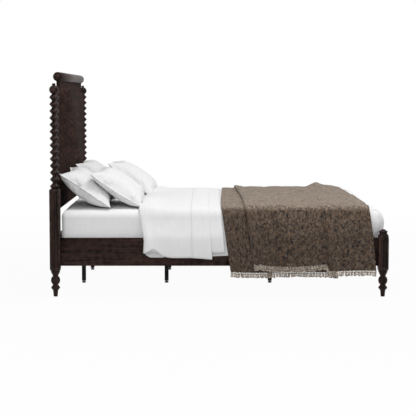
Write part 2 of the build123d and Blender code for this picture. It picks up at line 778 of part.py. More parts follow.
# White blanket: over the top, down both sides over the rails, and tucked in at the foot
blanket_levels = ((join_z, blanket_side - blanket_thickness, blanket_head, blanket_tuck, flat_swell),
                  (over_rail_z, blanket_hang, blanket_head + 0.7 * blanket_slant, blanket_tuck,
                   2 * flat_swell),
                  (blanket_hem, blanket_hang, blanket_head + blanket_slant, blanket_tuck, 4 * flat_swell))
blanket_flap = hanging_band(blanket_levels, one_fold, blanket_thickness)
with BuildPart() as blanket:
    # The tucked foot end, with room cut for the mattress and the foot posts
    tuck_length = mattress_foot + foot_bulge - blanket_tuck
    with BuildSketch(Plane.XY.offset(rail_top + post_clear)):
        with Locations((blanket_tuck - tuck_length, 0)):
            RectangleRounded(4 * tuck_length, 2 * blanket_side, mattress_corner_r + foot_bulge)
    extrude(amount=blanket_top - rail_top - post_clear)
    rim = blanket.faces().sort_by(Axis.Z)[-1].edges()
    fillet(rim, radius=shoulder_r)
    with BuildSketch(Plane.XY.offset(mattress_bottom)):
        with Locations(((mattress_head + mattress_foot) / 2 - mattress_length, 0)):
            RectangleRounded(3 * mattress_length + 2 * cloth_gap, mattress_width + 2 * cloth_gap,
                             mattress_corner_r)
    extrude(amount=mattress_height + cloth_gap, mode=Mode.SUBTRACT)
    with Locations((blanket_tuck, 0, mattress_bottom)):
        Box(4 * mattress_length, 4 * mattress_width, 2 * mattress_height,
            align=(Align.MAX, Align.CENTER, Align.CENTER), mode=Mode.SUBTRACT)
    for side in (-1, 1):
        with Locations((post_x, side * post_y, 0)):
            Box(post_side + 2 * post_clear, post_side + 2 * post_clear,
                2 * (foot_block_top + cap_rise + post_clear), mode=Mode.SUBTRACT)
    add(over_the_top(blanket_head, blanket_tuck, blanket_side, blanket_top, blanket_thickness, shoulder_r,
                     join_z))
    add(blanket_flap)
    mirror(blanket_flap, about=Plane.XZ)

# Turned-back sheet over the head end of the blanket
sheet_side = blanket_side + cloth_gap + sheet_thickness
sheet_top = blanket_top + cloth_gap + sheet_thickness
sheet_hang = blanket_hang + blanket_thickness + 4 * flat_swell + cloth_gap
sheet_levels = ((join_z, sheet_side - sheet_thickness, sheet_head, sheet_foot, flat_swell),
                (over_rail_z, sheet_hang, sheet_head + sheet_head_slant, sheet_foot + sheet_foot_slant / 2,
                 2 * flat_swell),
                (sheet_hem, sheet_hang + sheet_flare, sheet_head + sheet_head_slant,
                 sheet_foot + sheet_foot_slant, 8 * flat_swell))
sheet_flap = hanging_band(sheet_levels, one_fold, sheet_thickness)
with BuildPart() as turned_back_sheet:
    add(over_the_top(sheet_head, sheet_foot, sheet_side, sheet_top, sheet_thickness,
                     shoulder_r + sheet_thickness, join_z))
    add(sheet_flap)
    mirror(sheet_flap, about=Plane.XZ)

# Throw: one cloth with a second, shorter layer folded over its middle, and a fringe along both hems
throw_side = blanket_side + cloth_gap + throw_thickness
throw_top = blanket_top + cloth_gap + throw_thickness
throw_hang = blanket_hang + blanket_thickness + 4 * flat_swell + cloth_gap
throw_levels = ((join_z, throw_side - throw_thickness, throw_head, throw_foot, flat_swell),
                (over_rail_z, throw_hang, throw_head + throw_head_lean / 2, throw_foot + throw_foot_lean / 2,
                 throw_swell / 2),
                (throw_hem, throw_hang, throw_head + throw_head_lean, throw_foot + throw_foot_lean,
                 throw_swell))
throw_flap = hanging_band(throw_levels, throw_folds, throw_thickness)
layer_side = throw_side + layer_thickness
layer_hang = throw_hang + throw_thickness + throw_swell
layer_levels = ((join_z, throw_side, layer_head, layer_foot, flat_swell),
                (over_rail_z, throw_hang + throw_thickness + throw_swell / 2,
                 layer_head + layer_head_lean / 2, layer_foot + layer_foot_lean / 2, layer_swell / 2),
                (layer_hem, layer_hang - layer_tuck_in, layer_head + layer_head_lean,
                 layer_foot + layer_foot_lean, layer_swell))
layer_flap = hanging_band(layer_levels, throw_folds, layer_thickness)
with BuildPart() as throw:
    add(over_the_top(throw_head, throw_foot, throw_side, throw_top, throw_thickness,
                     shoulder_r + throw_thickness, join_z))
    add(over_the_top(layer_head, layer_foot, layer_side, throw_top + layer_thickness,
                     layer_thickness + layer_overlap, shoulder_r + throw_thickness + layer_thickness, join_z))
    add(throw_flap)
    mirror(throw_flap, about=Plane.XZ)
    add(layer_flap)
    mirror(layer_flap, about=Plane.XZ)


def fringe_under(level, folds):
    """The fringe that hangs from a hem, as one thin strip along it."""
    z, inner_y, x_from, x_to, swell = level
    low = (z - fringe_length, inner_y + fringe_inset, x_from, x_to, swell)
    return hanging_band(((z, inner_y + fringe_inset, x_from, x_to, swell), low), folds, fringe_thickness)


throw_fringe_strip = fringe_under(throw_levels[-1], throw_folds)
layer_fringe_strip = fringe_under(layer_levels[-1], throw_folds)
with BuildPart() as throw_fringe:
    add(throw_fringe_strip)
    mirror(throw_fringe_strip, about=Plane.XZ)
    add(layer_fringe_strip)
    mirror(layer_fringe_strip, about=Plane.XZ)


# Pillows: a crown in front, a flatter back, sides that draw in between the corners
pillow_stations = ((0.0, 1.0, 0.0), (0.05, 0.985, 0.36), (0.2, 0.94, 0.84), (0.5, pillow_waist, 1.0),
                   (0.8, 0.94, 0.84), (0.95, 0.985, 0.36), (1.0, 1.0, 0.0))


lean = radians(pillow_lean)
back_pillow_x = -post_x + panel_thickness / 2 + pillow_panel_gap + cos(lean) * pillow_width / 2
front_pillow_x = back_pillow_x + pillow_step


def pillow(x, y_from, y_to, rear_crown):
    """A pillow that leans back, long side across the bed, its lower edge pressed flat on the mattress."""
    centre_z = mattress_top + sin(lean) * pillow_width / 2 - pillow_sink
    with BuildPart() as cushion:
        for share, width_share, fullness in pillow_stations:
            y = y_from + share * (y_to - y_from)
            half = pillow_width * width_share / 2
            front = pillow_ear + fullness * (pillow_crown - pillow_ear)
            back = pillow_ear + fullness * (rear_crown - pillow_ear)
            section = Plane(origin=(x, y, centre_z), x_dir=(-cos(lean), 0, sin(lean)), z_dir=(0, 1, 0))
            with BuildSketch(section):
                with BuildLine():
                    ThreePointArc((-half, 0), (0, front), (half, 0))
                    ThreePointArc((half, 0), (0, -back), (-half, 0))
                make_face()
        loft()
        with Locations((x, (y_from + y_to) / 2, mattress_top + rest_gap)):
            Box(2 * pillow_width, 2 * pillow_length, 2 * pillow_width,
                align=(Align.CENTER, Align.CENTER, Align.MAX), mode=Mode.SUBTRACT)
    return cushion


near_y = pillow_middle_gap / 2
far_y = near_y + pillow_length
pillow_back_left = pillow(back_pillow_x, -far_y, -near_y, pillow_rear_crown)
pillow_back_right = pillow(back_pillow_x, near_y, far_y, pillow_rear_crown)
pillow_front_left = pillow(front_pillow_x, front_pillow_shift - far_y, front_pillow_shift - near_y,
                           pressed_rear_crown)
pillow_front_right = pillow(front_pillow_x, near_y - front_pillow_shift, far_y - front_pillow_shift,
                            pressed_rear_crown)


# Names and files
nodes = {
    "head_post_left": head_post_left,
    "head_post_right": head_post_right,
    "foot_post_left": foot_post_left,
    "foot_post_right": foot_post_right,
    "headboard_panel": headboard_panel,
    "crest_roll": crest_roll,
    "head_rail": head_rail,
    "foot_rail": foot_rail,
    "side_rail_left": side_rail_left,
    "side_rail_right": side_rail_right,
    "cleat_left": cleat_left,
    "cleat_right": cleat_right,
    "slats": slats,
    "slat_screws": slat_screws,
    "cleat_screws": cleat_screws,
    "rail_hook_plates": rail_hook_plates,
    "post_keeper_plates": post_keeper_plates,
    "plate_screws": plate_screws,
    "centre_beam_left": beam_left,
    "centre_beam_right": beam_right,
    "beam_brackets": beam_brackets,
    "bracket_screws": bracket_screws,
    "leg_plugs": leg_plugs,
    "leg_bolts": leg_bolts,
    "mattress": mattress,
    "blanket": blanket,
    "turned_back_sheet": turned_back_sheet,
    "throw": throw,
    "throw_fringe": throw_fringe,
    "pillow_back_left": pillow_back_left,
    "pillow_back_right": pillow_back_right,
    "pillow_front_left": pillow_front_left,
    "pillow_front_right": pillow_front_right,
}
row_names = ("head", "middle", "foot")
for index, (side_name, x, y) in enumerate(leg_spots):
    row = row_names[index % len(row_names)]
    nodes[f"support_leg_{side_name}_{row}"] = support_leg(x, y)
    nodes[f"levelling_foot_{side_name}_{row}"] = levelling_foot(x, y)

for name, piece in nodes.items():
    piece.part.label = name
    export_step(piece.part, f"parts/{name}.step")
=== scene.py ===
import math
import random

import bmesh
import bpy
import numpy as np
from mathutils import Euler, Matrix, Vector, noise


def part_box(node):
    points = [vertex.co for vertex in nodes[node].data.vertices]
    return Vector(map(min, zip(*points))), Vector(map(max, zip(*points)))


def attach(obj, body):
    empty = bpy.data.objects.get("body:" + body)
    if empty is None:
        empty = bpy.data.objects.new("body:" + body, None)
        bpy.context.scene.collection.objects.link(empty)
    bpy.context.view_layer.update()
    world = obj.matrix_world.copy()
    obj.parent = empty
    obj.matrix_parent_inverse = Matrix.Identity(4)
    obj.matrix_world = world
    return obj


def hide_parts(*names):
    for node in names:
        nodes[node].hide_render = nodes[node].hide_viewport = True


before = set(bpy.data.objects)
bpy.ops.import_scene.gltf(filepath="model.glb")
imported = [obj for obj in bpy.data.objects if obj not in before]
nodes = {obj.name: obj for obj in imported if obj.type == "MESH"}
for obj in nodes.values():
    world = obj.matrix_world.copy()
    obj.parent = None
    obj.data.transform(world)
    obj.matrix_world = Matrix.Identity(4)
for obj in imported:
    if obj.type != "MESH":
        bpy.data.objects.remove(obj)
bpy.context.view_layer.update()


# Camera
# It looks along the bed's left side from a little above the mattress, far enough away for the
# bed to look almost flat, as in the photograph.
camera_place = (-0.0712, -9.505, 1.2705)
camera_tilt = 0.0827
camera_lens = 116.8
camera_sensor = 36.0
camera_data = bpy.data.cameras.new("side_camera")
camera_data.sensor_width = camera_sensor
camera_data.lens = camera_lens
camera = bpy.data.objects.new("side_camera", camera_data)
camera.location = camera_place
camera.rotation_euler = (math.pi / 2 - camera_tilt, 0.0, 0.0)
bpy.context.scene.collection.objects.link(camera)
bpy.context.scene.camera = camera
bpy.context.scene.view_settings.view_transform = "Standard"


# Floor, background and lamps
# A pale studio floor that fades into a white background, a soft lamp high on the foot side and a
# weaker one beside the camera. The lamps only model the shapes: the sky carries the level.
sky_level = 0.68
floor_colour = (0.52, 0.52, 0.52, 1.0)
floor_glow = 0.96
floor_fade_near = 2.0
floor_fade_far = 6.0
high_lamp_place = (1.3, -0.9, 5.0)
high_lamp_power = 108.0
high_lamp_size = 1.6
front_lamp_place = (-1.5, -7.5, 3.0)
front_lamp_power = 81.0
front_lamp_size = 2.2
lamps_look_at = Vector((0.0, 0.0, 0.5))
floor_half_width = 60.0


def add_node(tree, kind, **inputs):
    """One shader node, with the inputs that are named set to plain values."""
    node = tree.nodes.new(kind)
    for name, value in inputs.items():
        node.inputs[name.replace("_", " ")].default_value = value
    return node


def seen_directly(tree):
    """A factor that is one for what the camera, a reflection or a clear material sees."""
    rays = tree.nodes.new("ShaderNodeLightPath")
    either = tree.nodes.new("ShaderNodeMath")
    either.operation = "MAXIMUM"
    tree.links.new(rays.outputs["Is Camera Ray"], either.inputs[0])
    tree.links.new(rays.outputs["Is Glossy Ray"], either.inputs[1])
    any_of_three = tree.nodes.new("ShaderNodeMath")
    any_of_three.operation = "MAXIMUM"
    tree.links.new(either.outputs[0], any_of_three.inputs[0])
    tree.links.new(rays.outputs["Is Transmission Ray"], any_of_three.inputs[1])
    return any_of_three.outputs[0]


world = bpy.data.worlds.new("white_room")
world.use_nodes = True
bpy.context.scene.world = world
sky = world.node_tree
sky.nodes.clear()
sky_light = add_node(sky, "ShaderNodeBackground", Color=(1.0, 1.0, 1.0, 1.0), Strength=sky_level)
sky_white = add_node(sky, "ShaderNodeBackground", Color=(1.0, 1.0, 1.0, 1.0), Strength=1.0)
sky_mix = sky.nodes.new("ShaderNodeMixShader")
sky_out = sky.nodes.new("ShaderNodeOutputWorld")
sky.links.new(seen_directly(sky), sky_mix.inputs["Fac"])
sky.links.new(sky_light.outputs[0], sky_mix.inputs[1])
sky.links.new(sky_white.outputs[0], sky_mix.inputs[2])
sky.links.new(sky_mix.outputs[0], sky_out.inputs["Surface"])

floor_net = bmesh.new()
bmesh.ops.create_grid(floor_net, x_segments=1, y_segments=1, size=floor_half_width)
floor_mesh = bpy.data.meshes.new("studio_floor")
floor_net.to_mesh(floor_mesh)
floor_net.free()
floor = bpy.data.objects.new("studio_floor", floor_mesh)
bpy.context.scene.collection.objects.link(floor)
floor_material = bpy.data.materials.new("pale_floor")
floor_material.use_nodes = True
floor_tree = floor_material.node_tree
floor_tree.nodes.clear()
floor_paint = add_node(floor_tree, "ShaderNodeBsdfDiffuse", Color=floor_colour)
floor_white = add_node(floor_tree, "ShaderNodeEmission", Color=(1.0, 1.0, 1.0, 1.0), Strength=1.0)
floor_part = add_node(floor_tree, "ShaderNodeMath")
floor_part.operation = "MULTIPLY"
floor_spot = floor_tree.nodes.new("ShaderNodeTexCoord")
from_bed = floor_tree.nodes.new("ShaderNodeVectorMath")
from_bed.operation = "LENGTH"
fade = floor_tree.nodes.new("ShaderNodeMapRange")
for socket, value in zip(("From Min", "From Max", "To Min", "To Max"),
                         (floor_fade_near, floor_fade_far, floor_glow, 1.0)):
    fade.inputs[socket].default_value = value
floor_tree.links.new(floor_spot.outputs["Object"], from_bed.inputs[0])
floor_tree.links.new(from_bed.outputs["Value"], fade.inputs["Value"])
floor_tree.links.new(fade.outputs[0], floor_part.inputs[1])
floor_mix = floor_tree.nodes.new("ShaderNodeMixShader")
floor_out = floor_tree.nodes.new("ShaderNodeOutputMaterial")
floor_tree.links.new(seen_directly(floor_tree), floor_part.inputs[0])
floor_tree.links.new(floor_part.outputs[0], floor_mix.inputs["Fac"])
floor_tree.links.new(floor_paint.outputs[0], floor_mix.inputs[1])
floor_tree.links.new(floor_white.outputs[0], floor_mix.inputs[2])
floor_tree.links.new(floor_mix.outputs[0], floor_out.inputs["Surface"])
floor.data.materials.append(floor_material)


def hang_lamp(name, place, power, size):
    """A square soft lamp that points at the middle of the bed."""
    lamp_data = bpy.data.lights.new(name, "AREA")
    lamp_data.energy = power
    lamp_data.size = size
    lamp = bpy.data.objects.new(name, lamp_data)
    lamp.location = place
    lamp.rotation_euler = (lamps_look_at - Vector(place)).to_track_quat("-Z", "Y").to_euler()
    bpy.context.scene.collection.objects.link(lamp)


hang_lamp("high_lamp", high_lamp_place, high_lamp_power, high_lamp_size)
hang_lamp("front_lamp", front_lamp_place, front_lamp_power, front_lamp_size)


# Stained wood
# Turned and sawn hardwood under a dark espresso stain and a thin satin coat. The grain shows as
# reddish streaks. The crisp edges are paler: partly stain rubbed thin by hands and cloths, partly a
# painted highlight where light catches them.
def new_group(name, inputs, outputs):
    """An empty node group with those sockets, each a name, a kind and a plain value."""
    group = bpy.data.node_groups.new(name, "ShaderNodeTree")
    for socket_name, kind, value in inputs:
        socket = group.interface.new_socket(name=socket_name, in_out="INPUT", socket_type=kind)
        if value is not None:
            socket.default_value = value
    for socket_name, kind in outputs:
        group.interface.new_socket(name=socket_name, in_out="OUTPUT", socket_type=kind)
    return group, group.nodes.new("NodeGroupInput"), group.nodes.new("NodeGroupOutput")


def shades(tree, factor, stops):
    """A colour ramp over factor. A stop is a place on it and a colour."""
    ramp = tree.nodes.new("ShaderNodeValToRGB")
    bands = ramp.color_ramp.elements
    while len(bands) < len(stops):
        bands.new(0.5)
    for band, (place, colour) in zip(bands, stops):
        band.position = place
        band.color = (*colour, 1.0)
    tree.links.new(factor, ramp.inputs["Fac"])
    return ramp.outputs["Color"]


def blend_colours(tree, factor, under, over, way="MIX"):
    """Over is mixed into under, as far as factor says."""
    mix = tree.nodes.new("ShaderNodeMix")
    mix.data_type = "RGBA"
    mix.blend_type = way
    for value, socket in ((factor, mix.inputs[0]), (under, mix.inputs[6]), (over, mix.inputs[7])):
        if isinstance(value, (float, tuple)):
            socket.default_value = value
        else:
            tree.links.new(value, socket)
    return mix.outputs[2]


def noise_on(tree, vector, scale, stretch=(1.0, 1.0, 1.0), detail=3.0, roughness=0.5, distortion=0.0):
    """A noise texture on vector, drawn out by stretch."""
    mapping = add_node(tree, "ShaderNodeMapping", Scale=stretch)
    texture = add_node(tree, "ShaderNodeTexNoise", Scale=scale, Detail=detail, Roughness=roughness,
                       Distortion=distortion)
    tree.links.new(vector, mapping.inputs["Vector"])
    tree.links.new(mapping.outputs[0], texture.inputs["Vector"])
    return texture.outputs["Fac"]


grain_group, grain_in, grain_out = new_group(
    "stained_grain",
    [("Vector", "NodeSocketVector", None), ("Deep", "NodeSocketColor", (0.012, 0.006, 0.005, 1.0)),
     ("Streak", "NodeSocketColor", (0.05, 0.025, 0.02, 1.0)), ("Figure", "NodeSocketFloat", 0.3),
     ("Satin", "NodeSocketFloat", 0.36)],
    [("Color", "NodeSocketColor"), ("Roughness", "NodeSocketFloat"), ("Height", "NodeSocketFloat")])
grain_along = grain_in.outputs["Vector"]
streaks = noise_on(grain_group, grain_along, 42.0, (1.0, 1.0, 0.05), 5.0, 0.62, 0.5)
pores = noise_on(grain_group, grain_along, 310.0, (1.0, 1.0, 0.025), 2.0, 0.5)
ripples = noise_on(grain_group, grain_along, 30.0, (1.0, 1.0, 0.16), 3.0, 0.60, 1.6)
bands = noise_on(grain_group, grain_along, 17.0, (1.0, 1.0, 0.07), 3.0, 0.6, 0.4)
streak_share = shades(grain_group, streaks, [(0.38, (0.0, 0.0, 0.0)), (0.66, (1.0, 1.0, 1.0))])
ripple_share = shades(grain_group, ripples, [(0.40, (0.0, 0.0, 0.0)), (0.68, (1.0, 1.0, 1.0))])
figured = blend_colours(grain_group, grain_in.outputs["Figure"], streak_share, ripple_share)
band_share = shades(grain_group, bands, [(0.36, (0.12, 0.12, 0.12)), (0.62, (1.0, 1.0, 1.0))])
clouded = blend_colours(grain_group, 0.75, figured, band_share, "MULTIPLY")
stain = blend_colours(grain_group, clouded, grain_in.outputs["Deep"], grain_in.outputs["Streak"])
pore_share = shades(grain_group, pores, [(0.30, (0.45, 0.45, 0.45)), (0.42, (1.0, 1.0, 1.0))])
pored = blend_colours(grain_group, 1.0, stain, pore_share, "MULTIPLY")
satin = grain_group.nodes.new("ShaderNodeMath")
satin.operation = "MULTIPLY_ADD"
satin.inputs[1].default_value = 0.14
grain_group.links.new(figured, satin.inputs[0])
grain_group.links.new(grain_in.outputs["Satin"], satin.inputs[2])
grain_group.links.new(pored, grain_out.inputs["Color"])
grain_group.links.new(satin.outputs[0], grain_out.inputs["Roughness"])
grain_group.links.new(pore_share, grain_out.inputs["Height"])

rub_highlight_group, rub_highlight_in, rub_highlight_out = new_group(
    "rubbed_and_highlit_edges", [("Vector", "NodeSocketVector", None), ("Amount", "NodeSocketFloat", 0.5)],
    [("Mask", "NodeSocketFloat")])
# Paler crisp edges: partly rubbed stain, partly a painted highlight where the edges catch the light.
edge_shape = rub_highlight_group.nodes.new("ShaderNodeNewGeometry")
crisp = shades(rub_highlight_group, edge_shape.outputs["Pointiness"],
               [(0.52, (0.0, 0.0, 0.0)), (0.60, (1.0, 1.0, 1.0))])
broken = shades(rub_highlight_group, noise_on(rub_highlight_group, rub_highlight_in.outputs["Vector"], 38.0, detail=4.0),
                [(0.36, (0.0, 0.0, 0.0)), (0.62, (1.0, 1.0, 1.0))])
worn_and_highlit = blend_colours(rub_highlight_group, 1.0, crisp, broken, "MULTIPLY")
worn_and_highlit_amount = rub_highlight_group.nodes.new("ShaderNodeMath")
worn_and_highlit_amount.operation = "MULTIPLY"
rub_highlight_group.links.new(worn_and_highlit, worn_and_highlit_amount.inputs[0])
rub_highlight_group.links.new(rub_highlight_in.outputs["Amount"], worn_and_highlit_amount.inputs[1])
rub_highlight_group.links.new(worn_and_highlit_amount.outputs[0], rub_highlight_out.inputs["Mask"])

deep_stain = (0.0052, 0.0040, 0.0038, 1.0)
red_streak = (0.068, 0.0350, 0.0290, 1.0)
# The colour of the pale crisp edges: bare wood where the stain is rubbed through, and painted highlight.
rubbed_and_highlit_wood = (0.105, 0.066, 0.050, 1.0)
upright = (0.0, 0.0, 0.0)
across_bed = (math.pi / 2, 0.0, 0.0)
along_bed = (0.0, math.pi / 2, 0.0)
wood_weld = 0.00002
turned_smooth_up_to = math.radians(34.0)


def stained_wood(name, turned, figure, wear_and_highlight, gloss, satin):
    """Dark stained wood whose grain runs the way that turned brings upright."""
    material = bpy.data.materials.new(name)
    material.use_nodes = True
    tree = material.node_tree
    shader = tree.nodes["Principled BSDF"]
    place = tree.nodes.new("ShaderNodeTexCoord")
    turn = add_node(tree, "ShaderNodeMapping", Rotation=turned)
    grain = tree.nodes.new("ShaderNodeGroup")
    grain.node_tree = grain_group
    grain.inputs["Deep"].default_value = deep_stain
    grain.inputs["Streak"].default_value = red_streak
    grain.inputs["Figure"].default_value = figure
    grain.inputs["Satin"].default_value = satin
    rub_and_highlight = tree.nodes.new("ShaderNodeGroup")
    rub_and_highlight.node_tree = rub_highlight_group
    rub_and_highlight.inputs["Amount"].default_value = wear_and_highlight
    tree.links.new(place.outputs["Object"], turn.inputs["Vector"])
    tree.links.new(turn.outputs[0], grain.inputs["Vector"])
    tree.links.new(turn.outputs[0], rub_and_highlight.inputs["Vector"])
    # The mask pales the crisp edges: rubbed stain and painted highlight.
    colour = blend_colours(tree, rub_and_highlight.outputs["Mask"], grain.outputs["Color"], rubbed_and_highlit_wood)
    bump = add_node(tree, "ShaderNodeBump", Strength=0.35, Distance=0.0006)
    tree.links.new(grain.outputs["Height"], bump.inputs["Height"])
    tree.links.new(colour, shader.inputs["Base Color"])
    tree.links.new(grain.outputs["Roughness"], shader.inputs["Roughness"])
    tree.links.new(bump.outputs[0], shader.inputs["Normal"])
    shader.inputs["Specular IOR Level"].default_value = gloss
    return material


def planed_copy(name, material):
    """A part of the frame with its faces joined, smooth where it is turned and crisp where it is cut."""
    shape = bmesh.new()
    shape.from_mesh(nodes[name].data)
    bmesh.ops.remove_doubles(shape, verts=shape.verts, dist=wood_weld)
    mesh = bpy.data.meshes.new("stained_" + name)
    shape.to_mesh(mesh)
    shape.free()
    mesh.polygons.foreach_set("use_smooth", [True] * len(mesh.polygons))
    mesh.set_sharp_from_angle(angle=turned_smooth_up_to)
    piece = bpy.data.objects.new("stained_" + name, mesh)
    bpy.context.scene.collection.objects.link(piece)
    piece.data.materials.append(material)
    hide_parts(name)
    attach(piece, "frame")
    return piece


# Posts
# Each is one turning from a square blank: a foot, a fluted block, and then beads and a ball at
# the head or a low cap at the foot. The grain stands upright.
post_wood = stained_wood("post_wood", upright, 0.08, 0.62, 0.085, 0.30)
for post in ("head_post_left", "head_post_right", "foot_post_left", "foot_post_right"):
    planed_copy(post, post_wood)


# Headboard
# A wide panel with a rippled veneer face between the head posts, and the round crest roll that
# caps its raised middle. The grain lies across the bed.
panel_wood = stained_wood("panel_wood", across_bed, 0.75, 0.15, 0.012, 0.72)
roll_wood = stained_wood("roll_wood", across_bed, 0.20, 0.4, 0.05, 0.34)
planed_copy("headboard_panel", panel_wood)
planed_copy("crest_roll", roll_wood)


# Rails
# Two long side rails hooked to the posts, and a head and a foot rail tenoned into them. All are
# sawn from the same stained hardwood, with the grain along each rail.
side_wood = stained_wood("side_rail_wood", along_bed, 0.03, 0.25, 0.05, 0.45)
cross_wood = stained_wood("cross_rail_wood", across_bed, 0.03, 0.25, 0.05, 0.45)
for rail in ("side_rail_left", "side_rail_right"):
    planed_copy(rail, side_wood)
for rail in ("head_rail", "foot_rail"):
    planed_copy(rail, cross_wood)


# Slats and cleats
# Bare sawn pine: the cleats are screwed along the side rails and the slats lie across on them.
# None of it is stained, since the mattress hides it.
pine_ground = (0.62, 0.44, 0.26, 1.0)
pine_ring = (0.44, 0.27, 0.13, 1.0)


def bare_pine(name, turned):
    """Pale sawn softwood with darker summer rings."""
    material = bpy.data.materials.new(name)
    material.use_nodes = True
    tree = material.node_tree
    shader = tree.nodes["Principled BSDF"]
    place = tree.nodes.new("ShaderNodeTexCoord")
    turn = add_node(tree, "ShaderNodeMapping", Rotation=turned)
    grain = tree.nodes.new("ShaderNodeGroup")
    grain.node_tree = grain_group
    grain.inputs["Deep"].default_value = pine_ground
    grain.inputs["Streak"].default_value = pine_ring
    grain.inputs["Figure"].default_value = 0.1
    tree.links.new(place.outputs["Object"], turn.inputs["Vector"])
    tree.links.new(turn.outputs[0], grain.inputs["Vector"])
    bump = add_node(tree, "ShaderNodeBump", Strength=0.4, Distance=0.0008)
    tree.links.new(grain.outputs["Height"], bump.inputs["Height"])
    tree.links.new(grain.outputs["Color"], shader.inputs["Base Color"])
    tree.links.new(bump.outputs[0], shader.inputs["Normal"])
    shader.inputs["Roughness"].default_value = 0.72
    return material


def finish_node(name, material):
    """Gives a part of the frame its finish in place of the plain one."""
    nodes[name].data.materials.clear()
    nodes[name].data.materials.append(material)


finish_node("slats", bare_pine("slat_pine", across_bed))
cleat_pine = bare_pine("cleat_pine", along_bed)
finish_node("cleat_left", cleat_pine)
finish_node("cleat_right", cleat_pine)


# Steel and plastic under the bed
# Beams, legs and brackets are powder-coated black steel, the screws and hook plates are zinc
# plated, and the levelling feet and their plugs are moulded black plastic.
roughness_spread = 0.08


def surface_skin(name, colour, spread, scale, roughness, metallic, bump_depth, specular=0.5):
    """A plain hard finish whose colour and roughness vary a little over the surface."""
    material = bpy.data.materials.new(name)
    material.use_nodes = True
    tree = material.node_tree
    shader = tree.nodes["Principled BSDF"]
    place = tree.nodes.new("ShaderNodeTexCoord")
    mottle = noise_on(tree, place.outputs["Object"], scale, detail=4.0)
    pale = tuple(min(1.0, part * spread) for part in colour)
    tree.links.new(shades(tree, mottle, [(0.3, colour), (0.7, pale)]), shader.inputs["Base Color"])
    dull = add_node(tree, "ShaderNodeMapRange")
    dull.inputs["To Min"].default_value = roughness - roughness_spread
    dull.inputs["To Max"].default_value = roughness + roughness_spread
    tree.links.new(mottle, dull.inputs["Value"])
    tree.links.new(dull.outputs[0], shader.inputs["Roughness"])
    peel = noise_on(tree, place.outputs["Object"], scale * 6.0, detail=2.0)
    bump = add_node(tree, "ShaderNodeBump", Strength=0.3, Distance=bump_depth)
    tree.links.new(peel, bump.inputs["Height"])
    tree.links.new(bump.outputs[0], shader.inputs["Normal"])
    shader.inputs["Metallic"].default_value = metallic
    shader.inputs["Specular IOR Level"].default_value = specular
    return material


black_coat = surface_skin("black_powder_coat", (0.016, 0.016, 0.017), 1.5, 90.0, 0.5, 0.0, 0.0003, 0.12)
zinc_plate = surface_skin("zinc_plate", (0.42, 0.42, 0.40), 1.3, 60.0, 0.38, 1.0, 0.0001)
black_plastic = surface_skin("moulded_black_plastic", (0.02, 0.02, 0.02), 1.3, 50.0, 0.62, 0.0, 0.0002, 0.2)
for name in nodes:
    if name.startswith(("centre_beam", "support_leg")) or name == "beam_brackets":
        finish_node(name, black_coat)
    if name.endswith(("_screws", "_bolts", "_plates")):
        finish_node(name, zinc_plate)
    if name.startswith("levelling_foot") or name == "leg_plugs":
        finish_node(name, black_plastic)


# Mattress
# A deep sprung mattress in a white fitted sheet. The sheet is stretched over it, with its corners
# gathered by the elastic hem, so only shallow creases run in from the corners.
mattress_low, mattress_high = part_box("mattress")
mattress_length = mattress_high.x - mattress_low.x
mattress_width = mattress_high.y - mattress_low.y
mattress_height = mattress_high.z - mattress_low.z
corner_round = 0.027
rim_round = 0.048
edge_sag = 0.011
to_head_posts = 0.008
mattress_cuts = ((0, 70), (1, 66), (2, 10))
crease_reach = 0.16


def top_height(side):
    """How high the mattress's soft top is, that far from the middle of the bed."""
    return mattress_high.z - edge_sag * (np.abs(side) / mattress_high.y) ** 3


def ruffle(points, size, seed):
    """Smooth random heights between -1 and 1 over the points, in bumps of about that size in metres."""
    shift = Vector((seed, 1.7 * seed, 0.3 * seed))
    return np.array([noise.noise(Vector(point) / size + shift) for point in points])


def read_points(mesh):
    """The mesh's points as rows of three numbers."""
    points = np.empty(len(mesh.vertices) * 3)
    mesh.vertices.foreach_get("co", points)
    return points.reshape(-1, 3)


def read_normals(mesh):
    """The direction out of the mesh at each of its points."""
    normals = np.empty(len(mesh.vertices) * 3)
    mesh.vertices.foreach_get("normal", normals)
    return normals.reshape(-1, 3)


def soft_step(value, low, high):
    """Zero below low, one above high, and an even curve between them."""
    share = np.clip((np.asarray(value, float) - low) / (high - low), 0.0, 1.0)
    return share * share * (3.0 - 2.0 * share)


def add_piece(name, mesh, material, body):
    """A finished soft or hard piece that rides on a body of the frame."""
    piece = bpy.data.objects.new(name, mesh)
    bpy.context.scene.collection.objects.link(piece)
    mesh.polygons.foreach_set("use_smooth", [True] * len(mesh.polygons))
    piece.data.materials.append(material)
    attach(piece, body)
    return piece


weave_group, weave_in, weave_out = new_group(
    "plain_weave", [("Vector", "NodeSocketVector", None), ("Threads", "NodeSocketFloat", 900.0)],
    [("Height", "NodeSocketFloat"), ("Slubs", "NodeSocketFloat")])
ribs = []
for direction in ("X", "Y"):
    rib = weave_group.nodes.new("ShaderNodeTexWave")
    rib.wave_type = "BANDS"
    rib.bands_direction = direction
    rib.inputs["Distortion"].default_value = 0.6
    rib.inputs["Detail"].default_value = 1.0
    weave_group.links.new(weave_in.outputs["Vector"], rib.inputs["Vector"])
    weave_group.links.new(weave_in.outputs["Threads"], rib.inputs["Scale"])
    ribs.append(rib.outputs["Fac"])
crossing = weave_group.nodes.new("ShaderNodeMath")
crossing.operation = "MULTIPLY"
weave_group.links.new(ribs[0], crossing.inputs[0])
weave_group.links.new(ribs[1], crossing.inputs[1])
slubs = noise_on(weave_group, weave_in.outputs["Vector"], 60.0, (1.0, 0.2, 1.0), 3.0)
weave_group.links.new(crossing.outputs[0], weave_out.inputs["Height"])
weave_group.links.new(slubs, weave_out.inputs["Slubs"])


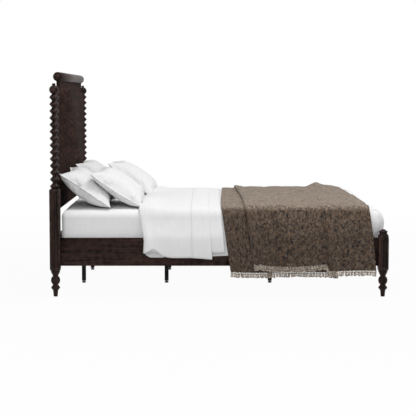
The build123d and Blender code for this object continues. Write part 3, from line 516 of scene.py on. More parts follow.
def white_cotton(name, colour, threads, from_uv, crease_depth, stitched_at=None):
    """White bed linen: a fine weave, faint slubs, soft creases and, where it has one, a stitched hem with a
    painted shade line along its stitching.
    """
    material = bpy.data.materials.new(name)
    material.use_nodes = True
    tree = material.node_tree
    shader = tree.nodes["Principled BSDF"]
    place = tree.nodes.new("ShaderNodeTexCoord")
    vector = place.outputs["UV" if from_uv else "Object"]
    weave = tree.nodes.new("ShaderNodeGroup")
    weave.node_tree = weave_group
    weave.inputs["Threads"].default_value = threads
    tree.links.new(vector, weave.inputs["Vector"])
    dimmer = tuple(part * 0.965 for part in colour)
    paint = shades(tree, weave.outputs["Slubs"], [(0.35, dimmer), (0.65, colour)])
    if stitched_at is not None:
        across_cloth = tree.nodes.new("ShaderNodeSeparateXYZ")
        tree.links.new(vector, across_cloth.inputs[0])
        from_stitch = tree.nodes.new("ShaderNodeMath")
        from_stitch.operation = "SUBTRACT"
        from_stitch.inputs[1].default_value = stitched_at
        tree.links.new(across_cloth.outputs["X"], from_stitch.inputs[0])
        reach = tree.nodes.new("ShaderNodeMath")
        reach.operation = "ABSOLUTE"
        tree.links.new(from_stitch.outputs[0], reach.inputs[0])
        # Painted shade: a thin darker line along the stitching stands in for the shade in its groove.
        painted_stitch_shade = shades(tree, reach.outputs[0], [(0.0012, (0.84, 0.84, 0.84)), (0.0050, (1.0, 1.0, 1.0))])
        paint = blend_colours(tree, 1.0, paint, painted_stitch_shade, "MULTIPLY")
    tree.links.new(paint, shader.inputs["Base Color"])
    creases = noise_on(tree, place.outputs["Object"], 9.0, detail=3.0, distortion=0.8)
    soft = add_node(tree, "ShaderNodeBump", Strength=0.5, Distance=crease_depth)
    fine = add_node(tree, "ShaderNodeBump", Strength=0.25, Distance=0.0003)
    tree.links.new(creases, soft.inputs["Height"])
    tree.links.new(weave.outputs["Height"], fine.inputs["Height"])
    tree.links.new(soft.outputs[0], fine.inputs["Normal"])
    tree.links.new(fine.outputs[0], shader.inputs["Normal"])
    shader.inputs["Roughness"].default_value = 0.86
    shader.inputs["Specular IOR Level"].default_value = 0.2
    shader.inputs["Sheen Weight"].default_value = 0.15
    shader.inputs["Sheen Roughness"].default_value = 0.5
    return material


mattress_net = bmesh.new()
bmesh.ops.create_cube(mattress_net, size=1.0)
bmesh.ops.scale(mattress_net, vec=(mattress_length, mattress_width, mattress_height),
                verts=mattress_net.verts)
uprights = [edge for edge in mattress_net.edges
            if abs(edge.verts[0].co.z - edge.verts[1].co.z) > 0.5 * mattress_height]
bmesh.ops.bevel(mattress_net, geom=uprights, offset=corner_round, segments=6, profile=0.5, material=-1,
                affect="EDGES")
rims = [edge for edge in mattress_net.edges
        if abs(edge.verts[0].co.z - edge.verts[1].co.z) < 0.01 and len(edge.link_faces) == 2
        and abs(edge.link_faces[0].normal.z - edge.link_faces[1].normal.z) > 0.5]
bmesh.ops.bevel(mattress_net, geom=rims, offset=rim_round, segments=4, profile=0.5, material=-1,
                affect="EDGES")
for axis, cuts in mattress_cuts:
    normal = [0.0, 0.0, 0.0]
    normal[axis] = 1.0
    span = (mattress_length, mattress_width, mattress_height)[axis]
    for cut in range(1, cuts):
        middle = [0.0, 0.0, 0.0]
        middle[axis] = span * (cut / cuts - 0.5)
        bmesh.ops.bisect_plane(mattress_net, geom=list(mattress_net.verts) + list(mattress_net.edges)
                               + list(mattress_net.faces), dist=0.0008, plane_co=middle, plane_no=normal)
bmesh.ops.translate(mattress_net, vec=(mattress_low + mattress_high) / 2 - Vector((to_head_posts, 0.0, 0.0)),
                    verts=mattress_net.verts)
mattress_mesh = bpy.data.meshes.new("fitted_mattress")
mattress_net.to_mesh(mattress_mesh)
mattress_net.free()
points = read_points(mattress_mesh)
out = read_normals(mattress_mesh)
in_height = (points[:, 2] - mattress_low.z) / mattress_height
from_middle = np.abs(points[:, 0] - (mattress_low.x + mattress_high.x) / 2)
to_corner = np.hypot(np.maximum(0.0, mattress_length / 2 - from_middle),
                     np.maximum(0.0, mattress_width / 2 - np.abs(points[:, 1])))
pull = np.exp(-to_corner / crease_reach)
sag = -0.0022 * np.sin(math.pi * np.clip(in_height, 0.0, 1.0)) * (1.0 - np.abs(out[:, 2]))
crease = 0.0018 * pull * ruffle(points * (1.0, 1.0, 0.35), 0.030, 3.0)
wave = 0.0012 * ruffle(points, 0.22, 8.0)
points += out * np.minimum(sag + crease + wave - 0.0012, 0.0)[:, None]
points[:, 2] += (top_height(points[:, 1]) - mattress_high.z) * in_height
mattress_mesh.vertices.foreach_set("co", points.ravel())
fitted_cotton = white_cotton("fitted_cotton", (0.88, 0.88, 0.885), 700.0, False, 0.004)
mattress = add_piece("fitted_mattress", mattress_mesh, fitted_cotton, "bedding")
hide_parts("mattress")


# Cloth over the bed
# Every cover lies flat on the mattress, turns down over its rounded edge, leans out over the side
# rail and hangs. The covers share this line and lie a named height above it.
rail_low, rail_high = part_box("side_rail_left")
rail_face = abs(rail_low.y)
bed_top = mattress_high.z
bed_side = mattress_high.y
hang_gap = 0.0035
line_step = 0.004
turn_radius = 0.056
line_softenings = 5
line_low = 0.10
rail_ease = 0.008


def run_lengths(line):
    """How far along a line each of its points is."""
    steps = np.hypot(np.diff(line[:, 0]), np.diff(line[:, 1]))
    return np.concatenate([[0.0], np.cumsum(steps)])


def covering_line(end_side, end_low):
    """The line from the middle of the bed over its edge and down, as points of a side and a height."""
    turn_side = bed_side - turn_radius
    turn_top = top_height(turn_side)
    flat = [(side, top_height(side)) for side in np.linspace(0.0, 0.97 * turn_side, 14)]
    turn = [(turn_side + turn_radius * math.sin(angle), turn_top - turn_radius * (1.0 - math.cos(angle)))
            for angle in np.linspace(0.06, math.pi / 2, 10)]
    corners = np.array(flat + turn + [(end_side, rail_high.z + rail_ease), (end_side, end_low)])
    lengths = run_lengths(corners)
    even = np.arange(0.0, lengths[-1], line_step)
    softened = np.stack([np.interp(even, lengths, corners[:, 0]), np.interp(even, lengths, corners[:, 1])],
                        axis=1)
    for _ in range(line_softenings):
        softened[1:-1] = (softened[:-2] + 2.0 * softened[1:-1] + softened[2:]) / 4.0
    return softened


def follow(line, distance, lift):
    """The side and height of the points at a distance along a line, lifted off it."""
    lengths = run_lengths(line)
    slope = np.gradient(line, axis=0)
    slope /= np.hypot(slope[:, 0], slope[:, 1])[:, None]
    side = np.interp(distance, lengths, line[:, 0]) - np.interp(distance, lengths, slope[:, 1]) * lift
    height = np.interp(distance, lengths, line[:, 1]) + np.interp(distance, lengths, slope[:, 0]) * lift
    return side, height


hanging_line = covering_line(rail_face + hang_gap, line_low)
hanging_lengths = run_lengths(hanging_line)
rail_top = rail_high.z
line_top_length = np.interp(-rail_top, -hanging_line[:, 1], hanging_lengths)


def length_down_to(height):
    """How much cloth it takes from the middle of the bed down to a height below the rail's top."""
    return line_top_length + (rail_top - height)


def drop_share(height, low):
    """Zero on the bed's top, and one at a hem of that height."""
    return np.clip((bed_top - height) / (bed_top - low), 0.0, 1.2)


def lay_cloth(name, columns, rows, size, place):
    """A net of square meshes the size of the flat cloth, whose points place lays on the bed."""
    net = bmesh.new()
    net.loops.layers.uv.new("cloth")
    bmesh.ops.create_grid(net, x_segments=columns, y_segments=rows, size=0.5)
    mesh = bpy.data.meshes.new(name)
    net.to_mesh(mesh)
    net.free()
    shares = read_points(mesh)[:, :2] + 0.5
    corners = np.empty(len(mesh.loops), int)
    mesh.loops.foreach_get("vertex_index", corners)
    mesh.uv_layers["cloth"].data.foreach_set("uv", (shares[corners] * size).ravel())
    mesh.vertices.foreach_set("co", place(shares[:, 0], shares[:, 1]).ravel())
    return mesh


def thicken(piece, thickness):
    """Gives a cloth its thickness, half to each side."""
    wall = piece.modifiers.new("thickness", "SOLIDIFY")
    wall.thickness = thickness
    wall.offset = 0.0


def face_out(mesh):
    """Turns the cloth's faces so that its upper side looks out."""
    net = bmesh.new()
    net.from_mesh(mesh)
    bmesh.ops.remove_doubles(net, verts=net.verts, dist=0.0002)
    top = max(net.faces, key=lambda face: face.calc_center_median().z)
    if top.normal.z < 0.0:
        bmesh.ops.reverse_faces(net, faces=net.faces)
    net.to_mesh(mesh)
    net.free()


def folds(along, places):
    """The sum of soft ridges, each a place along the bed, a width and a height."""
    return sum(height * np.exp(-((along - place) / width) ** 2) for place, width, height in places)


# Blanket
# A white cotton blanket. Its head end is folded back over itself, it hangs outside the side
# rails, and its foot end is tucked in between the mattress and the foot rail.
blanket_fold_x = -0.497
blanket_back_x = 0.010
blanket_lift = 0.0045
blanket_back_lift = 0.0105
blanket_hem = 0.2600
blanket_back_hem = 0.2830
tuck_from = 0.850
tuck_to = 0.925
foot_corner = 0.092
tuck_depth = 0.365
tuck_end = 0.322
blanket_end_x = 0.960
blanket_stand_off = 0.017
blanket_thickness = 0.004
blanket_run = np.array([(blanket_back_x, blanket_back_lift), (-0.455, blanket_back_lift), (-0.480, 0.0125),
                        (-0.492, 0.0120), (blanket_fold_x, 0.0085), (-0.494, 0.0050), (-0.480, 0.0040),
                        (-0.450, blanket_lift), (blanket_end_x, blanket_lift + 0.001)])
foot_x = mattress_high.x - foot_corner
foot_side = bed_side - foot_corner


def tucked_profile(distance):
    """How far out and how high the tucked end is, that far from where the flat top stops."""
    rise = [(0.0, bed_top - 0.004), (0.040, bed_top - 0.006), (0.066, bed_top - 0.013),
            (0.088, bed_top - 0.030), (0.102, bed_top - 0.056), (0.108, bed_top - 0.084),
            (0.107, bed_top - 0.112), (0.101, bed_top - 0.148), (0.093, bed_top - 0.178),
            (0.088, tuck_depth - 0.01), (0.087, tuck_end)]
    corners = np.array(rise)
    lengths = run_lengths(corners)
    return (np.interp(distance, lengths, corners[:, 0]), np.interp(distance, lengths, corners[:, 1]),
            lengths[-1])


def head_lean(height):
    """How far the folded head edge of the covers has slid towards the foot, at a height on their side."""
    return np.interp(height, (0.27, 0.36, 0.46, 0.56), (0.031, 0.036, 0.017, 0.0))


def place_blanket(along, across):
    """Lays the blanket: a share of its length from the folded-back edge, and a share of its width."""
    run = run_lengths(blanket_run)
    tucked = tucked_profile(0.0)[2]
    flat_end = run[-1] - (blanket_end_x - foot_x)
    distance = along * (flat_end + tucked)
    x = np.interp(distance, run, blanket_run[:, 0])
    lift = np.interp(distance, run, blanket_run[:, 1])
    past = np.maximum(distance - flat_end, 0.0)
    upper = distance < run[3]
    x = np.where(past > 0.0, foot_x, x)
    hung = 1.0 - soft_step(x, tuck_from, tuck_to)
    side = np.sign(across - 0.5)
    share = np.abs(across - 0.5) * 2.0
    hem_wave = 0.004 * np.sin(9.0 * x + 1.0 + side)
    hem = np.where(upper, blanket_back_hem, blanket_hem) + hem_wave
    hang_length = length_down_to(hem)
    tuck_length = foot_side + tucked
    reach = share * (hung * hang_length + (1.0 - hung) * tuck_length)
    side_hung, high_hung = follow(hanging_line, reach, lift)
    q = np.maximum(reach - foot_side, 0.0)
    r = (past ** 5 + q ** 5) ** 0.2
    out_r, high_r = tucked_profile(r)[:2]
    straight = np.maximum(np.hypot(past, q), 1e-9)
    direction_x = past / straight
    direction_y = q / straight
    side_tucked = np.minimum(reach, foot_side) + (out_r + lift * soft_step(r, 0.0, 0.09)) * direction_y
    high_tucked = high_r + lift * (1.0 - soft_step(r, 0.03, 0.09))
    x = x + (out_r + lift * soft_step(r, 0.0, 0.09)) * direction_x
    y = hung * side_hung + (1.0 - hung) * side_tucked
    z = hung * high_hung + (1.0 - hung) * high_tucked
    drop = drop_share(z, blanket_hem)
    sway = folds(x, ((-0.42, 0.05, 0.004), (-0.20, 0.07, 0.003), (0.10, 0.06, 0.004), (0.45, 0.10, 0.004)))
    stand_off = blanket_stand_off * np.where(upper, soft_step(drop, 0.1, 0.9), 0.0)
    y = y + hung * (drop ** 2 * sway + stand_off)
    lean = np.where(upper, 0.026 * soft_step(x, -0.2, 0.01), 0.0)
    x = x + lean * np.clip(drop, 0.0, 1.0) * hung + head_lean(z) * hung * (1.0 - soft_step(x, -0.50, -0.25))
    points = np.stack([x, side * y, z], axis=1)
    crumple = 0.0035 * ruffle(points, 0.16, 21.0) + 0.0018 * ruffle(points, 0.055, 5.0)
    points[:, 2] += np.where(drop < 0.02, 0.5 * crumple, 0.0) * soft_step(x, 0.0, 0.1)
    points[:, 1] += side * np.where(drop > 0.05, crumple, 0.0) * (0.4 + 0.6 * (1.0 - hung)) * 0.8
    angle = np.arctan2(q, past)
    pucker = 0.0045 * np.sin(9.0 * angle + 0.6 * side) * soft_step(r, 0.06, 0.16) * (1.0 - hung)
    points[:, 0] += pucker * direction_x * (past > 0.0)
    points[:, 1] += side * pucker * direction_y * (past > 0.0)
    return points


blanket_mesh = lay_cloth("white_blanket", 190, 170, (2.35, 2.62), place_blanket)
face_out(blanket_mesh)
blanket_cotton = white_cotton("blanket_cotton", (0.81, 0.81, 0.812), 500.0, True, 0.003)
blanket = add_piece("white_blanket", blanket_mesh, blanket_cotton, "bedding")
thicken(blanket, blanket_thickness)
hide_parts("blanket")


# Turned-back sheet
# The flat top sheet comes out from under the blanket, is turned back over its head end and lies
# on top of it, down to a deep stitched hem. Its sides hang a little lower than the blanket's.
sheet_edge_x = -0.0705
sheet_lift = 0.0148
sheet_stitch_x = -0.180
sheet_hem = 0.2510
sheet_back_hem = 0.2500
sheet_corner_x = -0.440
sheet_stand_off = 0.0180
sheet_roll_height = 0.015
sheet_flat_length = 0.60
sheet_thickness = 0.0024
sheet_run = np.array([(sheet_edge_x, sheet_lift + 0.0016), (sheet_stitch_x + 0.004, sheet_lift + 0.0016),
                      (sheet_stitch_x, sheet_lift - 0.0009), (sheet_stitch_x - 0.004, sheet_lift + 0.0002),
                      (-0.44, sheet_lift + 0.0010), (-0.480, 0.0180), (-0.500, 0.0160), (-0.5065, 0.0105),
                      (-0.5035, 0.0045), (-0.490, 0.0016), (-0.470, 0.0012), (-0.36, 0.0012)])


def place_sheet(along, across):
    """Lays the sheet: a share of its length from the stitched edge, and a share of its width."""
    run = run_lengths(sheet_run)
    distance = along * run[-1]
    x = np.interp(distance, run, sheet_run[:, 0])
    lift = np.interp(distance, run, sheet_run[:, 1])
    upper = 1.0 - soft_step(distance, run[6], run[8])
    side = np.sign(across - 0.5)
    share = np.abs(across - 0.5) * 2.0
    arch = 0.046 * np.exp(-((x - sheet_corner_x) / 0.052) ** 2) + 0.014 * np.exp(-((x + 0.510) / 0.024) ** 2)
    front_hem = sheet_hem + arch - 0.010 * soft_step(x, -0.20, -0.05)
    front_hem = front_hem + 0.006 * (1.0 - soft_step(x, -0.38, -0.28))
    back_hem = sheet_back_hem + 0.027 * (1.0 - soft_step(x, -0.508, -0.455))
    hem = upper * front_hem + (1.0 - upper) * back_hem
    reach = share * length_down_to(hem)
    y, z = follow(hanging_line, reach, lift)
    drop = drop_share(z, sheet_back_hem)
    seed = np.where(side < 0.0, 0.0, 3.7)
    sway = folds(x, ((-0.478, 0.020, 0.0060), (-0.30 + 0.01 * seed, 0.09, 0.0045), (-0.155, 0.025, 0.0030),
                     (-0.085, 0.030, 0.0055)))
    y = y + drop ** 1.5 * sway
    y = y + upper * sheet_stand_off * soft_step(drop, 0.1, 0.9)
    x = x + 0.026 * soft_step(x, -0.25, -0.07) * np.clip(drop, 0.0, 1.0)
    x = x + head_lean(z) * (1.0 - soft_step(x, -0.52, -0.28)) - 0.006 * (1.0 - soft_step(x, -0.51, -0.40))
    roll = upper * sheet_roll_height * np.exp(-((x + 0.445) / 0.050) ** 2)
    roll = roll * (1.0 - soft_step(drop, 0.0, 0.12))
    z = z + roll * (0.55 + 0.45 * np.cos(4.2 * (across - 0.5) * 2.0 + 2.4))
    points = np.stack([x, side * y, z], axis=1)
    crumple = 0.0022 * ruffle(points * (1.0, 0.5, 1.0), 0.13, 31.0) + 0.0009 * ruffle(points, 0.045, 12.0)
    crumple += upper * 0.012 * np.exp(-((z - 0.27) / 0.09) ** 2) * np.exp(-((x + 0.43) / 0.050) ** 2)
    crumple -= upper * 0.004 * np.exp(-((z - 0.47) / 0.07) ** 2) * np.exp(-((x + 0.36) / 0.06) ** 2)
    points[:, 2] += np.where(drop < 0.02, 0.8 * crumple, 0.0)
    points[:, 1] += side * np.where(drop > 0.02, crumple, 0.0)
    return points


sheet_mesh = lay_cloth("turned_back_linen", 130, 180, (sheet_flat_length, 2.66), place_sheet)
face_out(sheet_mesh)
sheet_cotton = white_cotton("sheet_cotton", (0.82, 0.82, 0.82), 900.0, True, 0.0025,
                            (sheet_edge_x - sheet_stitch_x) * sheet_flat_length / run_lengths(sheet_run)[-1])
top_sheet = add_piece("turned_back_linen", sheet_mesh, sheet_cotton, "bedding")
thicken(top_sheet, sheet_thickness)
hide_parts("turned_back_sheet")


# Throw
# One wide woollen blanket in a brown melange, laid across the bed in a Z-shaped pleat. It has a lower
# layer, a folded-back layer hidden between, and an upper layer that ends at the foot of the bed.
throw_head_x = 0.0146
throw_pleat_x = 0.745
throw_curl_x = 0.160
throw_foot_x = 0.934
lower_hem = 0.1570
upper_hem = 0.2110
lower_lift = 0.0125
middle_lift = 0.0172
upper_lift = 0.0222
curl_lift = 0.0290
throw_bend_x = 0.310
throw_bend_drift = 0.046
throw_corner_x = 0.675
side_swell = 0.027
side_ridge = 0.016
corner_ridge = 0.009
hem_smile = 0.019
throw_thickness = 0.0036
throw_run = np.array([(throw_head_x, lower_lift), (0.700, lower_lift), (throw_pleat_x - 0.010, lower_lift),
                      (throw_pleat_x, 0.0136), (throw_pleat_x + 0.002, 0.0155),
                      (throw_pleat_x - 0.006, middle_lift), (0.700, middle_lift), (0.220, middle_lift),
                      (throw_curl_x + 0.015, 0.0180), (throw_curl_x + 0.003, 0.0200),
                      (throw_curl_x, 0.0245), (throw_curl_x + 0.006, curl_lift),
                      (throw_curl_x + 0.022, curl_lift), (throw_curl_x + 0.060, upper_lift + 0.0010),
                      (0.300, upper_lift), (0.800, upper_lift), (throw_foot_x, upper_lift - 0.004)])
throw_lengths = run_lengths(throw_run)
lower_end = throw_lengths[4]
middle_end = throw_lengths[10]


def throw_layers(distance):
    """How much of the point at that distance belongs to the lower, the middle and the upper layer."""
    lower = 1.0 - soft_step(distance, lower_end - 0.06, lower_end)
    upper = soft_step(distance, middle_end - 0.02, middle_end + 0.03)
    return lower, 1.0 - lower - upper, upper


def place_throw(along, across):
    """Lays the throw: a share of its length from the head edge, and a share of its width."""
    distance = along * throw_lengths[-1]
    x = np.interp(distance, throw_lengths, throw_run[:, 0])
    lift = np.interp(distance, throw_lengths, throw_run[:, 1])
    lower, middle, upper = throw_layers(distance)
    side = np.sign(across - 0.5)
    share = np.abs(across - 0.5) * 2.0
    far = across - 0.5
    smile = hem_smile * np.sin(math.pi * np.clip((x - 0.23) / 0.44, 0.0, 1.0))
    upper_edge = upper_hem - smile - 0.042 * soft_step(x, 0.672, 0.700) + 0.002 * np.sin(17.0 * x)
    upper_edge = upper_edge - 0.016 * np.exp(-((x - throw_curl_x) / 0.02) ** 2)
    lower_edge = lower_hem + 0.003 * np.sin(11.0 * x + 2.0)
    hem = lower_edge * (1.0 - upper) + upper_edge * upper
    hem = hem + middle * (upper_hem - lower_hem + 0.004) * (1.0 - soft_step(x, 0.2, 0.7))
    reach = share * length_down_to(hem)
    puff = 0.004 + 0.020 * soft_step(far, 0.02, 0.30) * (1.0 - soft_step(share, 0.70, 0.86))
    over_pleat = np.exp(-((x - throw_pleat_x - 0.004) / 0.045) ** 2)
    lift = lift + over_pleat * puff * (0.55 * middle + upper)
    loose = soft_step(x, 0.73, 0.77) * (1.0 - soft_step(x, 0.87, 0.935)) * soft_step(far, 0.05, 0.33)
    lift = lift + 0.011 * loose * upper * (1.0 - soft_step(share, 0.70, 0.86))
    curl = np.exp(-((x - throw_curl_x) / 0.030) ** 2) * upper
    lift = lift + 0.004 * curl
    y, z = follow(hanging_line, reach, lift)
    drop = drop_share(z, lower_hem)
    down = np.clip(drop, 0.0, 1.1)
    head_edge = (1.0 - soft_step(x, throw_head_x, 0.16)) * lower
    x = x + head_edge * (0.058 * down + 0.022 * soft_step(far, -0.3, 0.4))
    foot_edge = soft_step(x, 0.76, throw_foot_x) * upper
    x = x + foot_edge * (0.038 * down + 0.023 * (1.0 - soft_step(far, -0.5, 0.2)))
    left_fold = (1.0 - soft_step(x, throw_curl_x, throw_curl_x + 0.13)) * (upper + 0.8 * middle)
    x = x + left_fold * (0.080 * down ** 0.8 - 0.035 * soft_step(far, -0.25, 0.4))
    bend = throw_bend_x + throw_bend_drift * soft_step(down, 0.05, 0.45)
    loose_side = soft_step(down, 0.02, 0.30)
    near_bend = np.where(x < bend, 0.010, 0.042)
    near_corner = np.where(x < throw_corner_x, 0.034, 0.010)
    low_down = soft_step(down, 0.20, 0.55)
    valley = np.exp(-((x - bend) / near_bend) ** 2)
    valley = valley + 0.8 * low_down * np.exp(-((x - throw_corner_x) / near_corner) ** 2)
    swell = soft_step(x, throw_curl_x - 0.01, throw_curl_x + 0.06) * (1.0 - valley)
    swell = side_swell * loose_side * swell * (0.72 + 0.28 * np.cos(19.0 * (x - 0.44)))
    ridge = side_ridge * np.exp(-((x - bend + 0.024) / 0.011) ** 2)
    ridge = ridge + corner_ridge * low_down * np.exp(-((x - throw_corner_x - 0.022) / 0.011) ** 2)
    swell = swell + loose_side * ridge
    lower_wave = 0.0060 * np.exp(-((x - 0.085) / 0.045) ** 2)
    sway = (upper + 0.30 * middle) * swell + lower * down ** 0.7 * lower_wave
    out = soft_step(down, 0.0, 0.05)
    y = y + out * sway
    points = np.stack([x, side * y, z], axis=1)
    on_top = 1.0 - soft_step(down, 0.0, 0.03)
    shared = ruffle(points, 0.24, 41.0)
    creased = ruffle(points * (1.0, 0.45, 1.0), 0.060, 15.0)
    crumple = 0.0020 * shared + 0.0012 * (upper + 0.5 * lower) * creased
    rolling = ruffle(points * (1.0, 0.35, 0.0), 0.105, 27.0)
    raised = 1.5 * crumple + 0.0022 * creased + 0.0045 * rolling * soft_step(x, 0.1, 0.2) + 0.0030
    points[:, 2] += on_top * raised
    points[:, 1] += side * (1.0 - on_top) * (crumple + 0.0012)
    return points


def flecked_wool(name, scale, colours, sheen, painted_sheen_from):
    """Melange wool: blotches of several yarns, and above a height a painted sheen in paler streaks."""
    material = bpy.data.materials.new(name)
    material.use_nodes = True
    tree = material.node_tree
    shader = tree.nodes["Principled BSDF"]
    place = tree.nodes.new("ShaderNodeTexCoord")
    melange = tree.nodes.new("ShaderNodeGroup")
    melange.node_tree = melange_group
    melange.inputs["Scale"].default_value = scale
    for key, colour in colours.items():
        melange.inputs[key].default_value = (*colour, 1.0)
    tree.links.new(place.outputs["UV"], melange.inputs["Vector"])
    spot = tree.nodes.new("ShaderNodeSeparateXYZ")
    tree.links.new(place.outputs["Object"], spot.inputs[0])
    # Painted sheen: from that height up the top is painted in paler streaks, standing in for the sheen of
    # the nap seen at a grazing angle.
    painted_sheen_mask = add_node(tree, "ShaderNodeMapRange")
    painted_sheen_mask.inputs["From Min"].default_value = painted_sheen_from
    painted_sheen_mask.inputs["From Max"].default_value = painted_sheen_from + 0.022
    painted_sheen_mask.inputs["To Max"].default_value = 0.75
    tree.links.new(spot.outputs["Z"], painted_sheen_mask.inputs["Value"])
    sheen_streaks = noise_on(tree, place.outputs["Object"], 78.0, (1.0, 0.50, 1.0), 4.0, 0.66, 0.9)
    painted_top_sheen = shades(tree, sheen_streaks, [(0.40, (0.075, 0.058, 0.046)), (0.50, (0.205, 0.158, 0.122)),
                                    (0.60, (0.42, 0.33, 0.255))])
    wool = blend_colours(tree, painted_sheen_mask.outputs[0], melange.outputs["Color"], painted_top_sheen)
    tree.links.new(wool, shader.inputs["Base Color"])
    bump = add_node(tree, "ShaderNodeBump", Strength=0.9, Distance=0.0022)
    tree.links.new(melange.outputs["Height"], bump.inputs["Height"])
    tree.links.new(bump.outputs[0], shader.inputs["Normal"])
    shader.inputs["Roughness"].default_value = 0.95
    shader.inputs["Specular IOR Level"].default_value = 0.1
    shader.inputs["Sheen Weight"].default_value = sheen
    shader.inputs["Sheen Roughness"].default_value = 0.35
    shader.inputs["Sheen Tint"].default_value = (1.0, 0.90, 0.80, 1.0)
    return material


melange_group, melange_in, melange_out = new_group(
    "melange", [("Vector", "NodeSocketVector", None), ("Scale", "NodeSocketFloat", 1.0),
                ("Ground", "NodeSocketColor", (0.07, 0.05, 0.04, 1.0)),
                ("Dark", "NodeSocketColor", (0.03, 0.03, 0.03, 1.0)),
                ("Warm", "NodeSocketColor", (0.2, 0.1, 0.04, 1.0)),
                ("Pale", "NodeSocketColor", (0.2, 0.17, 0.14, 1.0))],
    [("Color", "NodeSocketColor"), ("Height", "NodeSocketFloat")])
sized = melange_group.nodes.new("ShaderNodeVectorMath")
sized.operation = "SCALE"
melange_group.links.new(melange_in.outputs["Vector"], sized.inputs[0])
melange_group.links.new(melange_in.outputs["Scale"], sized.inputs["Scale"])
blotches = noise_on(melange_group, sized.outputs[0], 38.0, (1.25, 0.85, 1.0), 5.0, 0.72, 0.9)
dark_yarn = noise_on(melange_group, sized.outputs[0], 56.0, (1.3, 0.8, 1.0), 4.0, 0.66, 0.8)
warm_yarn = noise_on(melange_group, sized.outputs[0], 70.0, (1.3, 0.8, 1.0), 4.0, 0.66, 1.2)
nap = noise_on(melange_group, sized.outputs[0], 420.0, (1.0, 0.7, 1.0), 3.0, 0.6, 0.4)
pale_share = shades(melange_group, blotches, [(0.44, (0.0, 0.0, 0.0)), (0.60, (0.9, 0.9, 0.9))])
dark_share = shades(melange_group, dark_yarn, [(0.50, (0.0, 0.0, 0.0)), (0.59, (0.95, 0.95, 0.95))])
warm_share = shades(melange_group, warm_yarn, [(0.55, (0.0, 0.0, 0.0)), (0.64, (0.85, 0.85, 0.85))])
melange = blend_colours(melange_group, pale_share, melange_in.outputs["Ground"], melange_in.outputs["Pale"])
melange = blend_colours(melange_group, dark_share, melange, melange_in.outputs["Dark"])
melange = blend_colours(melange_group, warm_share, melange, melange_in.outputs["Warm"])
melange_group.links.new(melange, melange_out.inputs["Color"])
felt = melange_group.nodes.new("ShaderNodeMath")
felt.operation = "ADD"
melange_group.links.new(nap, felt.inputs[0])
melange_group.links.new(blotches, felt.inputs[1])
melange_group.links.new(felt.outputs[0], melange_out.inputs["Height"])

throw_mesh = lay_cloth("wool_throw", 250, 176, (2.09, 2.75), place_throw)
face_out(throw_mesh)
yarns = {"Ground": (0.075, 0.053, 0.040), "Dark": (0.020, 0.020, 0.022),
         "Warm": (0.195, 0.110, 0.058), "Pale": (0.175, 0.133, 0.102)}
throw_wool = flecked_wool("melange_wool", 1.0, yarns, 0.32, bed_top - 0.014)
throw = add_piece("wool_throw", throw_mesh, throw_wool, "bedding")
thicken(throw, throw_thickness)
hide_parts("throw")


# Throw fringe
# The warp ends at both hems of the throw, twisted by twos into short beige tassels that bush out
# a little at their cut ends.
tassel_length = 0.037
tassel_spacing = 0.0094
strand_radius = 0.0026
strand_rings = 7
strand_turn = 7.5
hem_step = 0.001
random.seed(12)


def twisted_strand(turn, swing):
    """One of a tassel's two strands, hanging from the origin and winding about the other."""
    net = bmesh.new()
    bmesh.ops.create_circle(net, segments=5, radius=strand_radius, cap_ends=False)
    ring = list(net.edges)
    for step in range(1, strand_rings + 1):
        grown = bmesh.ops.extrude_edge_only(net, edges=ring)["geom"]
        ring = [part for part in grown if isinstance(part, bmesh.types.BMEdge)
                and all(vert in grown for vert in part.verts)]
        fresh = [part for part in grown if isinstance(part, bmesh.types.BMVert)]
        bmesh.ops.translate(net, vec=(0.0, 0.0, -tassel_length / strand_rings), verts=fresh)
        if step == strand_rings:
            bmesh.ops.scale(net, vec=(1.7, 1.7, 1.0), verts=fresh)
    for vert in net.verts:
        share = -vert.co.z / tassel_length
        angle = turn + strand_turn * share
        apart = strand_radius * (0.95 + 0.5 * share ** 3)
        vert.co.x += apart * math.cos(angle) + swing * share ** 2
        vert.co.y += apart * math.sin(angle)
    return net


def tassel_mesh(swing):
    """Two strands wound about each other."""
    mesh = bpy.data.meshes.new("tassel")
    first = twisted_strand(0.0, swing)
    first.to_mesh(mesh)
    first.free()
    second = twisted_strand(math.pi, swing)
    second.from_mesh(mesh)
    second.to_mesh(mesh)
    second.free()
    return mesh


tassels = [tassel_mesh(swing) for swing in (-0.003, -0.001, 0.0, 0.002, 0.003)]
fringe_net = bmesh.new()
for across in (0.0, 1.0):
    walked = np.arange(0.0, throw_lengths[-1], hem_step)
    hem_points = place_throw(walked / throw_lengths[-1], np.full(len(walked), across))
    hem_steps = np.linalg.norm(np.diff(hem_points, axis=0), axis=1)
    hem_walk = np.concatenate([[0.0], np.cumsum(hem_steps)])
    side = 1.0 if across > 0.5 else -1.0
    spot = 0.004
    while spot < hem_walk[-1]:
        place = Vector([float(np.interp(spot, hem_walk, hem_points[:, axis])) for axis in range(3)])
        walked_to = float(np.interp(spot, hem_walk, walked))
        hidden = lower_end + 0.02 < walked_to < middle_end - 0.03
        if not hidden:
            before = set(fringe_net.verts)
            fringe_net.from_mesh(random.choice(tassels))
            fresh = [vert for vert in fringe_net.verts if vert not in before]
            bmesh.ops.rotate(fringe_net, cent=(0.0, 0.0, 0.0), verts=fresh,
                             matrix=Euler((0.10 * side, 0.0, random.uniform(-0.4, 0.4))).to_matrix())
            bmesh.ops.scale(fringe_net, vec=(1.0, 1.0, random.uniform(0.86, 1.06)), verts=fresh)
            bmesh.ops.translate(fringe_net, vec=place + Vector((0.0, 0.0, 0.003)), verts=fresh)
        spot += tassel_spacing * random.uniform(0.93, 1.07)
fringe_mesh = bpy.data.meshes.new("wool_fringe")
bmesh.ops.recalc_face_normals(fringe_net, faces=fringe_net.faces)
fringe_net.to_mesh(fringe_mesh)
fringe_net.free()
fringe_yarn = bpy.data.materials.new("beige_yarn")
